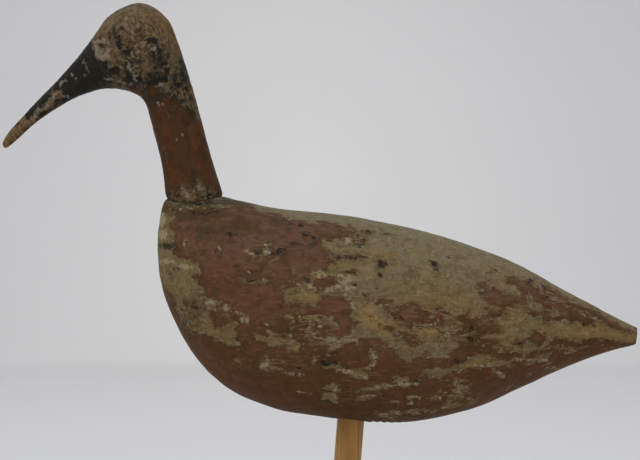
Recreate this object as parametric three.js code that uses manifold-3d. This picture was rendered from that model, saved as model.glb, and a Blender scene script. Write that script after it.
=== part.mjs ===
// A carved wooden shorebird decoy on its dowel and a plain wood block.
// Lengths are in millimetres. +Z is up, -X is the way the bill points, and the origin is the middle of the
// block's underside. The bird is mirror-symmetric about the plane y = 0.
import * as THREE from "three";
import { mergeVertices } from "three/addons/utils/BufferGeometryUtils.js";
import Module from "manifold-3d";

// Sizes of the bird
const BODY_LENGTH = 224; // breast to tail end
const BODY_WIDTH = 80; // at the widest rib
const HEAD_HEIGHT = 91; // neck seat to crown
const HEAD_WIDTH = 30; // at the crown

// Sizes of the dowel, its two sockets and the block
const DOWEL_DIAMETER = 12.7; // a half-inch dowel
const DOWEL_SHOWN = 100; // between the block and the belly, along the dowel
const DOWEL_LEAN_DEG = 4.4; // the top leans towards the tail
const BELLY_SOCKET_DEPTH = 34;
const BLOCK_SOCKET_DEPTH = 17;
const BLOCK_LENGTH = 130;
const BLOCK_WIDTH = 96;
const BLOCK_THICKNESS = 22;
const BLOCK_CORNER_RADIUS = 4;
const BLOCK_EASED_EDGE = 1.5;

// Gap left between pieces that touch
const CLEARANCE = 0.3;

// How finely the round forms are cut
const BODY_STATIONS = 62;
const BODY_SIDES = 40;
const HEAD_STATIONS = 64;
const HEAD_SIDES = 26;
const DOWEL_SIDES = 32;
const CORNER_STEPS = 4;

// Ribs of the body from the breast to the tail end: where the rib meets the back, where it meets the belly,
// its half width and the height of its widest place. The points are shares of BODY_LENGTH, behind the breast
// and above the lowest place of the belly. The half width is a share of the widest rib's, and the widest
// place a share of the rib's height.
const BODY_RIBS = [
  [[0.0, 0.368], [0.0, 0.368], 0.0, 0.5],
  [[0.001, 0.404], [0.001, 0.335], 0.15, 0.5],
  [[0.004, 0.431], [0.005, 0.298], 0.26, 0.5],
  [[0.01, 0.454], [0.013, 0.269], 0.36, 0.5],
  [[0.02, 0.468], [0.028, 0.231], 0.47, 0.51],
  [[0.05, 0.471], [0.052, 0.177], 0.61, 0.52],
  [[0.092, 0.472], [0.088, 0.124], 0.75, 0.53],
  [[0.133, 0.472], [0.133, 0.083], 0.85, 0.54],
  [[0.171, 0.463], [0.183, 0.053], 0.92, 0.54],
  [[0.244, 0.449], [0.255, 0.026], 0.975, 0.54],
  [[0.338, 0.438], [0.342, 0.013], 1.0, 0.53],
  [[0.443, 0.423], [0.443, 0.002], 0.99, 0.52],
  [[0.495, 0.413], [0.495, 0.0], 0.965, 0.52],
  [[0.547, 0.402], [0.547, 0.004], 0.93, 0.51],
  [[0.652, 0.37], [0.652, 0.029], 0.82, 0.5],
  [[0.756, 0.327], [0.756, 0.073], 0.655, 0.5],
  [[0.861, 0.27], [0.865, 0.122], 0.43, 0.5],
  [[0.94, 0.228], [0.936, 0.146], 0.25, 0.5],
  [[0.988, 0.205], [0.985, 0.16], 0.15, 0.5],
  [[1.0, 0.198], [0.998, 0.166], 0.115, 0.5],
];
const BODY_SQUARENESS = 2.15; // 2 is an ellipse, and more is squarer

// Ribs of the head, from the tip of the bill over the crown to the neck's foot. They fan out from the
// throat. The first point is on the bill's top, the crown and the nape, and the second on the bill's
// underside, the throat and the front of the neck. The points are shares of HEAD_HEIGHT, behind and above
// the middle of the neck's foot.
const HEAD_RIBS = [
  [[-0.978, 0.252], [-0.978, 0.252], 0.0, 0.5],
  [[-0.985, 0.287], [-0.953, 0.253], 0.13, 0.5],
  [[-0.957, 0.333], [-0.912, 0.29], 0.17, 0.5],
  [[-0.874, 0.424], [-0.82, 0.38], 0.22, 0.5],
  [[-0.784, 0.518], [-0.716, 0.454], 0.28, 0.5],
  [[-0.696, 0.611], [-0.613, 0.511], 0.36, 0.5],
  [[-0.614, 0.704], [-0.532, 0.539], 0.47, 0.48],
  [[-0.547, 0.785], [-0.476, 0.555], 0.61, 0.47],
  [[-0.495, 0.86], [-0.435, 0.557], 0.75, 0.46],
  [[-0.439, 0.932], [-0.398, 0.555], 0.87, 0.46],
  [[-0.362, 0.979], [-0.368, 0.549], 0.96, 0.46],
  [[-0.28, 0.998], [-0.337, 0.541], 1.0, 0.47],
  [[-0.197, 0.967], [-0.306, 0.529], 0.99, 0.48],
  [[-0.131, 0.901], [-0.278, 0.514], 0.95, 0.49],
  [[-0.089, 0.806], [-0.256, 0.49], 0.89, 0.5],
  [[-0.049, 0.69], [-0.238, 0.453], 0.83, 0.5],
  [[-0.01, 0.561], [-0.221, 0.396], 0.79, 0.5],
  [[0.029, 0.416], [-0.201, 0.313], 0.77, 0.5],
  [[0.075, 0.252], [-0.176, 0.213], 0.77, 0.5],
  [[0.114, 0.112], [-0.155, 0.107], 0.79, 0.5],
  [[0.148, 0.002], [-0.144, -0.004], 0.81, 0.5],
  [[0.155, -0.06], [-0.125, -0.063], 0.79, 0.5],
];
const HEAD_SQUARENESS = 2.2;

// The middle of the neck's foot and the mouth of the belly socket, as shares of BODY_LENGTH
const NECK_SEAT_SHARE = [0.0755, 0.471];
const BELLY_SOCKET_SHARE = [0.4025, 0.006];

const PAINTED_BODY = new THREE.MeshStandardMaterial({ color: 0x7a6a4c, roughness: 0.75, metalness: 0 });
const PAINTED_HEAD = new THREE.MeshStandardMaterial({ color: 0x5e4633, roughness: 0.75, metalness: 0 });
const DOWEL_WOOD = new THREE.MeshStandardMaterial({ color: 0xb98a4e, roughness: 0.6, metalness: 0 });
const BLOCK_WOOD = new THREE.MeshStandardMaterial({ color: 0xb4854c, roughness: 0.6, metalness: 0 });

const wasm = await Module();
wasm.setup();

// A closed geometry as a manifold-3d solid.
function solidOf(geometry) {
  const bare = geometry.clone();
  bare.deleteAttribute("normal");
  bare.deleteAttribute("uv");
  const merged = mergeVertices(bare, 1e-3);
  return new wasm.Manifold(
    new wasm.Mesh({
      numProp: 3,
      vertProperties: merged.attributes.position.array,
      triVerts: new Uint32Array(merged.index.array),
    }),
  );
}

// The geometry of a manifold-3d solid.
function geometryOf(solid) {
  const mesh = solid.getMesh();
  const geometry = new THREE.BufferGeometry();
  geometry.setAttribute("position", new THREE.BufferAttribute(mesh.vertProperties, mesh.numProp));
  geometry.setIndex(new THREE.BufferAttribute(mesh.triVerts, 1));
  geometry.computeVertexNormals();
  return geometry;
}

// The ribs at their real size: each with its top, its bottom and its widest point, in millimetres from
// the point that is at `origin` in shares.
function sizedRibs(ribs, size, halfWidth, origin) {
  return ribs.map(([top, bottom, width, widest]) => {
    const upper = new THREE.Vector3((top[0] - origin[0]) * size, 0, (top[1] - origin[1]) * size);
    const lower = new THREE.Vector3((bottom[0] - origin[0]) * size, 0, (bottom[1] - origin[1]) * size);
    const side = lower.clone().lerp(upper, widest);
    side.y = width * halfWidth;
    return { upper, lower, side };
  });
}

// One closed skin over the ribs. Smooth lines run through their tops, bottoms and widest points, and each
// ring is a rounded section between the three. A first rib of no height closes to a point.
function carvedSkin(ribs, stations, sides, squareness) {
  const line = (key) => new THREE.CatmullRomCurve3(ribs.map((rib) => rib[key]), false, "centripetal");
  const [upperLine, lowerLine, sideLine] = ["upper", "lower", "side"].map(line);
  const fullness = 2 / squareness;
  const points = [];
  for (let i = 0; i <= stations; i++) {
    const upper = upperLine.getPoint(i / stations);
    const lower = lowerLine.getPoint(i / stations);
    const side = sideLine.getPoint(i / stations);
    for (let k = 0; k < sides; k++) {
      const angle = (2 * Math.PI * k) / sides;
      const out = Math.sign(Math.cos(angle)) * Math.abs(Math.cos(angle)) ** fullness;
      const rise = Math.abs(Math.sin(angle)) ** fullness;
      const edge = Math.sin(angle) >= 0 ? upper : lower;
      points.push(
        side.x + (edge.x - side.x) * rise,
        side.y * out,
        side.z + (edge.z - side.z) * rise,
      );
    }
  }
  const faces = [];
  for (let i = 0; i < stations; i++) {
    for (let k = 0; k < sides; k++) {
      const a = i * sides + k;
      const b = i * sides + ((k + 1) % sides);
      faces.push(a, b, b + sides, a, b + sides, a + sides);
    }
  }
  const end = stations * sides;
  for (let k = 1; k < sides - 1; k++) {
    faces.push(end, end + k, end + k + 1);
  }
  const geometry = new THREE.BufferGeometry();
  geometry.setAttribute("position", new THREE.Float32BufferAttribute(points, 3));
  geometry.setIndex(faces);
  return withoutSlivers(mergeVertices(geometry, 1e-3));
}

// Drops the faces that closed to a line where a ring meets in a point.
function withoutSlivers(geometry) {
  const index = geometry.index.array;
  const kept = [];
  for (let i = 0; i < index.length; i += 3) {
    const [a, b, c] = index.subarray(i, i + 3);
    if (a !== b && b !== c && a !== c) {
      kept.push(a, b, c);
    }
  }
  geometry.setIndex(kept);
  return geometry;
}

// A skin moved outwards all over by `gap`.
function grownSkin(geometry, gap) {
  const grown = geometry.clone();
  grown.computeVertexNormals();
  const position = grown.attributes.position;
  const normal = grown.attributes.normal;
  for (let i = 0; i < position.count; i++) {
    position.setXYZ(
      i,
      position.getX(i) + gap * normal.getX(i),
      position.getY(i) + gap * normal.getY(i),
      position.getZ(i) + gap * normal.getZ(i),
    );
  }
  return grown;
}

// A round bar along +Z from z = `from` to z = `to`, leaning with the dowel.
function leaningBar(radius, from, to) {
  const bar = new THREE.CylinderGeometry(radius, radius, to - from, DOWEL_SIDES);
  bar.rotateX(Math.PI / 2);
  bar.translate(0, 0, (from + to) / 2);
  bar.rotateY(THREE.MathUtils.degToRad(DOWEL_LEAN_DEG));
  return bar;
}

const dowelRadius = DOWEL_DIAMETER / 2;
const socketRadius = dowelRadius + CLEARANCE;
const dowelUp = new THREE.Vector3(0, 0, 1).applyAxisAngle(
  new THREE.Vector3(0, 1, 0),
  THREE.MathUtils.degToRad(DOWEL_LEAN_DEG),
);

const bodySkin = carvedSkin(
  sizedRibs(BODY_RIBS, BODY_LENGTH, BODY_WIDTH / 2, BELLY_SOCKET_SHARE),
  BODY_STATIONS,
  BODY_SIDES,
  BODY_SQUARENESS,
);

// The middle of the neck's foot, from the mouth of the belly socket.
const neckSeat = new THREE.Vector3(
  (NECK_SEAT_SHARE[0] - BELLY_SOCKET_SHARE[0]) * BODY_LENGTH,
  0,
  (NECK_SEAT_SHARE[1] - BELLY_SOCKET_SHARE[1]) * BODY_LENGTH,
);

// The body is one block of wood, bored from below for the dowel.
function makeBody() {
  const bore = leaningBar(socketRadius, -socketRadius, BELLY_SOCKET_DEPTH);
  const solid = solidOf(bodySkin).subtract(solidOf(bore));
  const body = new THREE.Mesh(geometryOf(solid), PAINTED_BODY);
  body.name = "decoy_body";
  return body;
}

// Head, bill and neck are one piece, with a foot cut to the round of the shoulders that it stands on.
function makeHead() {
  const skin = carvedSkin(
    sizedRibs(HEAD_RIBS, HEAD_HEIGHT, HEAD_WIDTH / 2, [0, 0]),
    HEAD_STATIONS,
    HEAD_SIDES,
    HEAD_SQUARENESS,
  );
  const shoulders = grownSkin(bodySkin, CLEARANCE).translate(-neckSeat.x, -neckSeat.y, -neckSeat.z);
  const solid = solidOf(skin).subtract(solidOf(shoulders));
  const head = new THREE.Mesh(geometryOf(solid), PAINTED_HEAD);
  head.name = "head_neck_and_bill";
  head.position.copy(neckSeat);
  return head;
}

// The dowel runs from one socket's end to the other's. Its own z = 0 is at the block's top.
function makeDowel() {
  const bar = leaningBar(
    dowelRadius,
    CLEARANCE - BLOCK_SOCKET_DEPTH,
    DOWEL_SHOWN + BELLY_SOCKET_DEPTH - CLEARANCE,
  );
  const dowel = new THREE.Mesh(bar, DOWEL_WOOD);
  dowel.name = "dowel";
  dowel.position.z = BLOCK_THICKNESS;
  return dowel;
}

// The outline of the block with its four corners rounded.
function blockOutline() {
  const [halfLength, halfWidth, radius] = [BLOCK_LENGTH / 2, BLOCK_WIDTH / 2, BLOCK_CORNER_RADIUS];
  const outline = new THREE.Shape();
  outline.absarc(halfLength - radius, halfWidth - radius, radius, 0, Math.PI / 2);
  outline.absarc(radius - halfLength, halfWidth - radius, radius, Math.PI / 2, Math.PI);
  outline.absarc(radius - halfLength, radius - halfWidth, radius, Math.PI, 1.5 * Math.PI);
  outline.absarc(halfLength - radius, radius - halfWidth, radius, 1.5 * Math.PI, 2 * Math.PI);
  outline.closePath();
  return outline;
}

// The block is a plain board with eased edges, bored from above for the dowel.
function makeBlock() {
  const board = new THREE.ExtrudeGeometry(blockOutline(), {
    depth: BLOCK_THICKNESS - 2 * BLOCK_EASED_EDGE,
    curveSegments: CORNER_STEPS,
    bevelThickness: BLOCK_EASED_EDGE,
    bevelSize: BLOCK_EASED_EDGE,
    bevelOffset: -BLOCK_EASED_EDGE,
    bevelSegments: 2,
  });
  board.translate(0, 0, BLOCK_EASED_EDGE);
  const bore = leaningBar(socketRadius, -BLOCK_SOCKET_DEPTH, socketRadius);
  bore.translate(0, 0, BLOCK_THICKNESS);
  const solid = solidOf(board).subtract(solidOf(bore));
  const block = new THREE.Mesh(geometryOf(solid), BLOCK_WOOD);
  block.name = "stand_block";
  return block;
}

const bird = new THREE.Group();
bird.position.copy(dowelUp).multiplyScalar(DOWEL_SHOWN);
bird.position.z += BLOCK_THICKNESS;
bird.add(makeBody(), makeHead());

const decoy = new THREE.Group();
decoy.add(makeBlock(), makeDowel(), bird);

export default decoy;
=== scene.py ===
# %% [markdown]
# # A shorebird decoy, carved in pine and painted long ago
# The real object is a folk carving: a body and a head cut from pine with a knife, joined at the neck, painted
# in oil and worn for decades. It stands on a plain dowel. This lesson rebuilds its looks around the packed
# model, whose pieces give every place and size. The bird's four pieces are made one after the other, each as
# a dense mesh with its own wear, and then the paint is laid over them.

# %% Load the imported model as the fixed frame
import math
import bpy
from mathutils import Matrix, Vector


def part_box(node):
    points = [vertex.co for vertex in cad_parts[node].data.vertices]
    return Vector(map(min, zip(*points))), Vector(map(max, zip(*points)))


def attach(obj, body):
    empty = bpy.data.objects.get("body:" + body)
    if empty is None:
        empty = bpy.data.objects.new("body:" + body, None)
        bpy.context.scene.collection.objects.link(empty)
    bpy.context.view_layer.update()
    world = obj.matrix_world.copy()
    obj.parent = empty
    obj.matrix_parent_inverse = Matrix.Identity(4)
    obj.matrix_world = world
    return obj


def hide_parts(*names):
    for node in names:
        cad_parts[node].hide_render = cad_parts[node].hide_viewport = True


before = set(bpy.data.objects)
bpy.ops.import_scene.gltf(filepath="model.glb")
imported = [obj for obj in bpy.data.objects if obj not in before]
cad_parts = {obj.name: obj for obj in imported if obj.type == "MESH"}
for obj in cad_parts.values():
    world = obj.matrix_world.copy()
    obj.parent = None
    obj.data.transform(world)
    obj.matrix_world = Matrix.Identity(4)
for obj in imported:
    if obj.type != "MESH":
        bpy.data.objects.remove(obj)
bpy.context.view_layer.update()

from types import SimpleNamespace

import bmesh
import bpy
import numpy as np
from mathutils import Matrix, Vector, noise
from mathutils.bvhtree import BVHTree

print("nodes:", sorted(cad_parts))

# %% [markdown]
# ## Millimetres on the bird
# A carver measures along the bird and up from its belly. So every place on the bird is given as millimetres
# behind the breast ("along") and above the lowest place of the belly ("up"), and these two functions turn it
# into the frame's metres and back. The body's own box in the frame gives the two zeros.

# %% The bird's own ruler
MM = 0.001
body_low, body_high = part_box("decoy_body")
BODY_LENGTH = (body_high.x - body_low.x) / MM


def in_frame(along, across, up):
    """Places on the bird, in millimetres, as metres in the frame."""
    return np.stack([body_low.x + along * MM, across * MM, body_low.z + up * MM], axis=-1)


def on_bird(points):
    """Points in the frame, in metres, as millimetres along, across and up on the bird."""
    start = np.array([body_low.x, 0.0, body_low.z])
    return (points - start) / MM


print(f"the body is {BODY_LENGTH:.1f} mm long")

# %% [markdown]
# ## Ribs
# A carver checks a bird with cardboard ribs held against it. A loft does the same: each rib says where the
# back is, where the belly is, how wide the bird is there and how high its widest place sits. A box model with
# subdivision could give the form too, but ribs are easier to check against the outline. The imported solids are
# lofted over ribs of the same sizes, except that the bill's tip and the tail's end here are up to half a
# millimetre slimmer, so the fine mesh lies where the solid does.

# %% Ribs of the body
BODY_WIDTH = 80.0
BODY_SQUARENESS = 2.15  # 2 is an ellipse, and more is squarer
# Top, bottom, half width and height of the widest place, as shares of the body's length, of the widest rib
# and of the rib's own height
BODY_RIBS = [
    ((0.0, 0.368), (0.0, 0.368), 0.0, 0.5),
    ((0.001, 0.404), (0.001, 0.335), 0.15, 0.5),
    ((0.004, 0.431), (0.005, 0.298), 0.26, 0.5),
    ((0.01, 0.454), (0.013, 0.269), 0.36, 0.5),
    ((0.02, 0.468), (0.028, 0.231), 0.47, 0.51),
    ((0.05, 0.471), (0.052, 0.177), 0.61, 0.52),
    ((0.092, 0.472), (0.088, 0.124), 0.75, 0.53),
    ((0.133, 0.472), (0.133, 0.083), 0.85, 0.54),
    ((0.171, 0.463), (0.183, 0.053), 0.92, 0.54),
    ((0.244, 0.449), (0.255, 0.026), 0.975, 0.54),
    ((0.338, 0.438), (0.342, 0.013), 1.0, 0.53),
    ((0.443, 0.423), (0.443, 0.002), 0.99, 0.52),
    ((0.495, 0.413), (0.495, 0.0), 0.965, 0.52),
    ((0.547, 0.402), (0.547, 0.004), 0.93, 0.51),
    ((0.652, 0.37), (0.652, 0.029), 0.82, 0.5),
    ((0.756, 0.327), (0.756, 0.073), 0.655, 0.5),
    ((0.861, 0.27), (0.865, 0.122), 0.43, 0.5),
    ((0.94, 0.2265), (0.936, 0.147), 0.25, 0.5),
    ((0.988, 0.2035), (0.985, 0.1585), 0.15, 0.5),
    ((1.0, 0.198), (0.9985, 0.1625), 0.115, 0.5),
]
print(f"{len(BODY_RIBS)} ribs in the body")

# %% Ribs of the head, neck and bill
HEAD_HEIGHT = 91.0
HEAD_WIDTH = 30.0
HEAD_SQUARENESS = 2.2
NECK_SEAT_SHARE = (0.0755, 0.471)  # the middle of the neck's foot, as shares of the body's length
# From the tip of the bill over the crown to the neck's foot, as shares of HEAD_HEIGHT from the neck's foot
HEAD_RIBS = [
    ((-0.975, 0.25), (-0.975, 0.25), 0.0, 0.5),
    ((-0.987, 0.27), (-0.957, 0.257), 0.11, 0.5),
    ((-0.954, 0.333), (-0.915, 0.292), 0.17, 0.5),
    ((-0.872, 0.424), (-0.819, 0.38), 0.22, 0.5),
    ((-0.782, 0.517), (-0.715, 0.454), 0.28, 0.5),
    ((-0.694, 0.608), (-0.613, 0.512), 0.36, 0.5),
    ((-0.614, 0.698), (-0.532, 0.54), 0.47, 0.48),
    ((-0.547, 0.785), (-0.476, 0.555), 0.61, 0.47),
    ((-0.495, 0.86), (-0.435, 0.557), 0.75, 0.46),
    ((-0.439, 0.932), (-0.398, 0.555), 0.87, 0.46),
    ((-0.362, 0.979), (-0.368, 0.549), 0.96, 0.46),
    ((-0.28, 0.998), (-0.337, 0.541), 1.0, 0.47),
    ((-0.197, 0.967), (-0.306, 0.529), 0.99, 0.48),
    ((-0.131, 0.901), (-0.278, 0.514), 0.95, 0.49),
    ((-0.089, 0.806), (-0.256, 0.49), 0.89, 0.5),
    ((-0.049, 0.69), (-0.238, 0.453), 0.83, 0.5),
    ((-0.01, 0.561), (-0.221, 0.396), 0.79, 0.5),
    ((0.029, 0.416), (-0.201, 0.313), 0.77, 0.5),
    ((0.075, 0.252), (-0.176, 0.213), 0.77, 0.5),
    ((0.114, 0.112), (-0.155, 0.107), 0.79, 0.5),
    ((0.148, 0.002), (-0.144, -0.004), 0.81, 0.5),
    ((0.155, -0.06), (-0.125, -0.063), 0.79, 0.5),
]
print(f"{len(HEAD_RIBS)} ribs from the bill to the neck's foot")

# %% [markdown]
# ## A smooth line through the ribs
# A centripetal Catmull-Rom line goes through every rib without the loops that a plain one makes where ribs
# stand close, as they do at the breast and round the crown. Rings are then spread evenly by their true
# distance, so that the small wear made later has the same fineness everywhere.

# %% Ribs in millimetres, and the line through them
def sized_ribs(ribs, size, half_width, corner):
    """The ribs as three rows of points in millimetres: tops, bottoms and widest places.
    corner is where the ribs' own zero lies on the bird."""
    tops = np.array([[corner[0] + top[0] * size, 0.0, corner[1] + top[1] * size] for top, *_ in ribs])
    bottoms = np.array([[corner[0] + low[0] * size, 0.0, corner[1] + low[1] * size] for _, low, *_ in ribs])
    height = np.array([rib[3] for rib in ribs])[:, None]
    sides = bottoms + (tops - bottoms) * height
    sides[:, 1] = [rib[2] * half_width for rib in ribs]
    return tops, bottoms, sides


def smooth_line(points, shares):
    """Points on the smooth line through the ribs. A share of 0 is the first rib and 1 the last."""
    last = len(points) - 1
    place = np.asarray(shares) * last
    start = np.minimum(place.astype(int), last - 1)
    w = (place - start)[:, None]
    padded = np.vstack([2 * points[0] - points[1], points, 2 * points[-1] - points[-2]])
    p0, p1, p2, p3 = (padded[start + k] for k in range(4))
    gap0, gap1, gap2 = (
        np.sqrt(np.linalg.norm(b - a, axis=1))[:, None] for a, b in ((p0, p1), (p1, p2), (p2, p3))
    )
    gap1 = np.where(gap1 < 1e-4, 1.0, gap1)
    gap0 = np.where(gap0 < 1e-4, gap1, gap0)
    gap2 = np.where(gap2 < 1e-4, gap1, gap2)
    leave = ((p1 - p0) / gap0 - (p2 - p0) / (gap0 + gap1) + (p2 - p1) / gap1) * gap1
    reach = ((p2 - p1) / gap1 - (p3 - p1) / (gap1 + gap2) + (p3 - p2) / gap2) * gap1
    cubic = 2 * p1 - 2 * p2 + leave + reach
    square = 3 * p2 - 3 * p1 - 2 * leave - reach
    return ((cubic * w + square) * w + leave) * w + p1


def even_shares(tops, bottoms, count):
    """Shares that put count + 1 rings the same distance apart, measured along top and bottom."""
    fine = np.linspace(0, 1, 4000)
    steps = sum(np.linalg.norm(np.diff(smooth_line(p, fine), axis=0), axis=1) for p in (tops, bottoms))
    run = np.concatenate([[0.0], np.cumsum(steps)])
    return np.interp(np.linspace(0, run[-1], count + 1), run, fine)


body_ribs = sized_ribs(BODY_RIBS, BODY_LENGTH, BODY_WIDTH / 2, (0.0, 0.0))
neck_seat = (NECK_SEAT_SHARE[0] * BODY_LENGTH, NECK_SEAT_SHARE[1] * BODY_LENGTH)
head_ribs = sized_ribs(HEAD_RIBS, HEAD_HEIGHT, HEAD_WIDTH / 2, neck_seat)
print(f"the neck's foot is {neck_seat[0]:.1f} mm behind the breast, {neck_seat[1]:.1f} mm above the belly")

# %% [markdown]
# ## Skins
# Each rib becomes a closed ring between an ellipse and a rounded square, and the rings are joined like the
# staves of a barrel. The first rib is a point, at the breast and at the tip of the bill. The last is a flat
# cut, as the real tail has. About one point for each 0.8 mm is enough to raise worn paint as true relief.

# %% Helpers for meshes of rings
def put_in_scene(name, data):
    """An object for a mesh, a lamp or a camera, linked to the scene."""
    made = bpy.data.objects.new(name, data)
    bpy.context.scene.collection.objects.link(made)
    return made


def new_object(name, points, faces):
    """A mesh object from points in metres and faces."""
    mesh = bpy.data.meshes.new(name)
    mesh.from_pydata(np.asarray(points).tolist(), [], faces)
    mesh.validate()
    return put_in_scene(name, mesh)


def ring_angles(sides):
    """The angles at which a ring's points stand."""
    return 2 * math.pi * np.arange(sides) / sides


def tube_faces(rings, sides, first):
    """Four-sided faces between rings of points that lie one ring after the other from point first."""
    a = first + np.arange((rings - 1) * sides).reshape(-1, sides)
    b = np.roll(a, -1, axis=1)
    return np.stack([a, b, b + sides, a + sides], axis=-1).reshape(-1, 4).tolist()


def fan(tip, ring, flip):
    """Three-sided faces from one point to a ring of points."""
    pairs = list(zip(ring, ring[1:] + ring[:1]))
    return [(tip, b, a) if flip else (tip, a, b) for a, b in pairs]


def closed_tube(start, rows, end, sides):
    """Points and faces of a tube of rings that a fan closes at either end."""
    points = np.vstack([start, rows, end])
    last = len(points) - 1
    faces = tube_faces(len(rows) // sides, sides, 1)
    faces += fan(0, list(range(1, sides + 1)), True)
    faces += fan(last, list(range(last - sides, last)), False)
    return points, faces


print(f"a fan over a ring of four points has {len(fan(0, [1, 2, 3, 4], True))} faces")

# %% Make the two carved blanks
CUT_RINGS = (0.97, 0.85, 0.65, 0.4, 0.18)  # rings on the flat cut at the end, as shares of its own size


def carved_skin(name, ribs, rings, sides, squareness, grown=0.0):
    """A closed mesh over the ribs. It starts in a point and ends in a flat cut.
    grown makes it bigger all round by that many millimetres."""
    shares = even_shares(ribs[0], ribs[1], rings)[1:]
    upper, lower, side = (smooth_line(points, shares)[:, None, :] for points in ribs)
    angle = ring_angles(sides)
    out = (np.sign(np.cos(angle)) * np.abs(np.cos(angle)) ** (2 / squareness))[None, :]
    rise = (np.abs(np.sin(angle)) ** (2 / squareness))[None, :]
    edge = np.where((np.sin(angle) >= 0)[None, :, None], upper, lower)
    grid = side + (edge - side) * rise[..., None]
    grid[..., 1] = side[..., 1] * out
    middle = grid[-1].mean(axis=0)
    flat_cut = np.array([middle + (grid[-1] - middle) * share for share in CUT_RINGS])
    rows = np.concatenate([grid, flat_cut]).reshape(-1, 3)
    points, faces = closed_tube(ribs[0][0], rows, middle, sides)
    made = new_object(name, in_frame(*points.T), faces)
    if grown:
        normals = np.array([v.normal for v in made.data.vertices])
        points = in_frame(*points.T) + normals * grown * MM
        made.data.vertices.foreach_set("co", points.astype(np.float32).ravel())
    print(f"{name}: {len(made.data.vertices)} points")
    return made


SEAM_GAP = 0.3  # mm between the two carvings where glue and paint have shrunk
BODY_RINGS, BODY_SIDES = 322, 284
HEAD_RINGS, HEAD_SIDES = 392, 216
body = carved_skin("carved_body", body_ribs, BODY_RINGS, BODY_SIDES, BODY_SQUARENESS)
head = carved_skin("carved_head", head_ribs, HEAD_RINGS, HEAD_SIDES, HEAD_SQUARENESS)
body_and_gap = carved_skin("body_and_gap", body_ribs, BODY_RINGS, BODY_SIDES, BODY_SQUARENESS, SEAM_GAP)

# %% [markdown]
# ## Socket and seam
# The maker drilled the belly for the dowel and fitted the neck's foot to the shoulder. The same is done here
# with two cuts: a leaning drill out of the body, and the body, a little grown, out of the foot of the neck.
# The dowel in the frame says where the drill goes. Modelling the fit by hand would leave a gap or an overlap.

# %% Cut the socket and fit the neck
def cut_away(piece, tool):
    """Takes the tool's space out of the piece, as a saw or a drill does, and throws the tool away."""
    cut = piece.modifiers.new("cut", "BOOLEAN")
    cut.operation = "DIFFERENCE"
    cut.solver = "MANIFOLD"
    cut.object = tool
    before = len(piece.data.vertices)
    shown = piece.evaluated_get(bpy.context.evaluated_depsgraph_get())
    mesh = bpy.data.meshes.new_from_object(shown)
    piece.modifiers.clear()
    piece.data = mesh
    bpy.data.objects.remove(tool)
    print(f"{piece.name}: {before} points before the cut, {len(mesh.vertices)} after")


def points_of(piece):
    """The piece's points as rows of metres."""
    flat = np.zeros(len(piece.data.vertices) * 3, np.float32)
    piece.data.vertices.foreach_get("co", flat)
    return flat.reshape(-1, 3).astype(float)


def round_bar(name, low, high, radius, sides=96):
    """A bar from point low to point high, in metres, with flat ends."""
    axis = Vector(high - low)
    turn = axis.to_track_quat("Z", "Y").to_matrix().to_4x4()
    place = Matrix.Translation(Vector((low + high) / 2)) @ turn
    shape = bmesh.new()
    bmesh.ops.create_cone(
        shape, cap_ends=True, segments=sides, radius1=radius, radius2=radius, depth=axis.length, matrix=place
    )
    mesh = bpy.data.meshes.new(name)
    shape.to_mesh(mesh)
    shape.free()
    return put_in_scene(name, mesh)


END_SPREAD = 1.2  # mm: the ends of the leaning dowel are not level, so their points differ by less than this
DOWEL_RADIUS = 6.35  # mm: a half-inch dowel
DRILL_PLAY = 0.3
BELLY_DRILL_START = 60.0  # mm above the dowel's foot, in the air between block and belly
dowel_points = points_of(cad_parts["dowel"])
dowel_z = dowel_points[:, 2]
dowel_foot = dowel_points[dowel_z < dowel_z.min() + END_SPREAD * MM].mean(axis=0)
dowel_top = dowel_points[dowel_z > dowel_z.max() - END_SPREAD * MM].mean(axis=0)
dowel_axis = (dowel_top - dowel_foot) / np.linalg.norm(dowel_top - dowel_foot)
drill_radius = (DOWEL_RADIUS + DRILL_PLAY) * MM
drill_start = dowel_foot + dowel_axis * BELLY_DRILL_START * MM
drill_end = dowel_top + dowel_axis * DRILL_PLAY * MM
cut_away(body, round_bar("belly_drill", drill_start, drill_end, drill_radius))
cut_away(head, body_and_gap)
lean = math.degrees(math.acos(dowel_axis[2]))
print(f"the dowel leans {lean:.1f} degrees")

# %% [markdown]
# ## Where the paint is left
# Decades of handling took the paint off the breast, the back and the wing in patches. The eye knows the
# bird by these patches, so the big ones are drawn as outlines in millimetres on the bird, and chance only
# frays their edges. Each mark gives every point of the mesh a distance in millimetres to the nearest edge,
# more than 0 inside it. Such distances blend well, where painted pixels would blur.

# %% Distances to outlines, streaks and spots
REACH = 4.0  # mm: beyond this far from an edge nothing changes


def drawn(text):
    """Places that were typed in as along,up pairs, in millimetres."""
    return np.array([[float(value) for value in place.split(",")] for place in text.split()])


def to_line(along, up, a, b):
    """Distance in millimetres from every point to the straight line between a and b."""
    run = b - a
    share = ((along - a[0]) * run[0] + (up - a[1]) * run[1]) / max(run @ run, 1e-9)
    share = np.clip(share, 0, 1)
    return np.hypot(along - a[0] - share * run[0], up - a[1] - share * run[1])


def patch_field(along, up, outline):
    """Distance to the edge of a patch, above 0 inside it."""
    field = np.full(along.shape, -REACH)
    low, high = outline.min(axis=0) - REACH, outline.max(axis=0) + REACH
    close = (along > low[0]) & (along < high[0]) & (up > low[1]) & (up < high[1])
    x, z = along[close], up[close]
    nearest = np.full(x.shape, REACH)
    inside = np.zeros(x.shape, bool)
    for a, b in zip(outline, np.roll(outline, -1, axis=0)):
        nearest = np.minimum(nearest, to_line(x, z, a, b))
        rise = b[1] - a[1]
        if rise:
            inside ^= ((a[1] > z) != (b[1] > z)) & (x < a[0] + (z - a[1]) * (b[0] - a[0]) / rise)
    field[close] = np.where(inside, nearest, -nearest)
    return field


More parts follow.
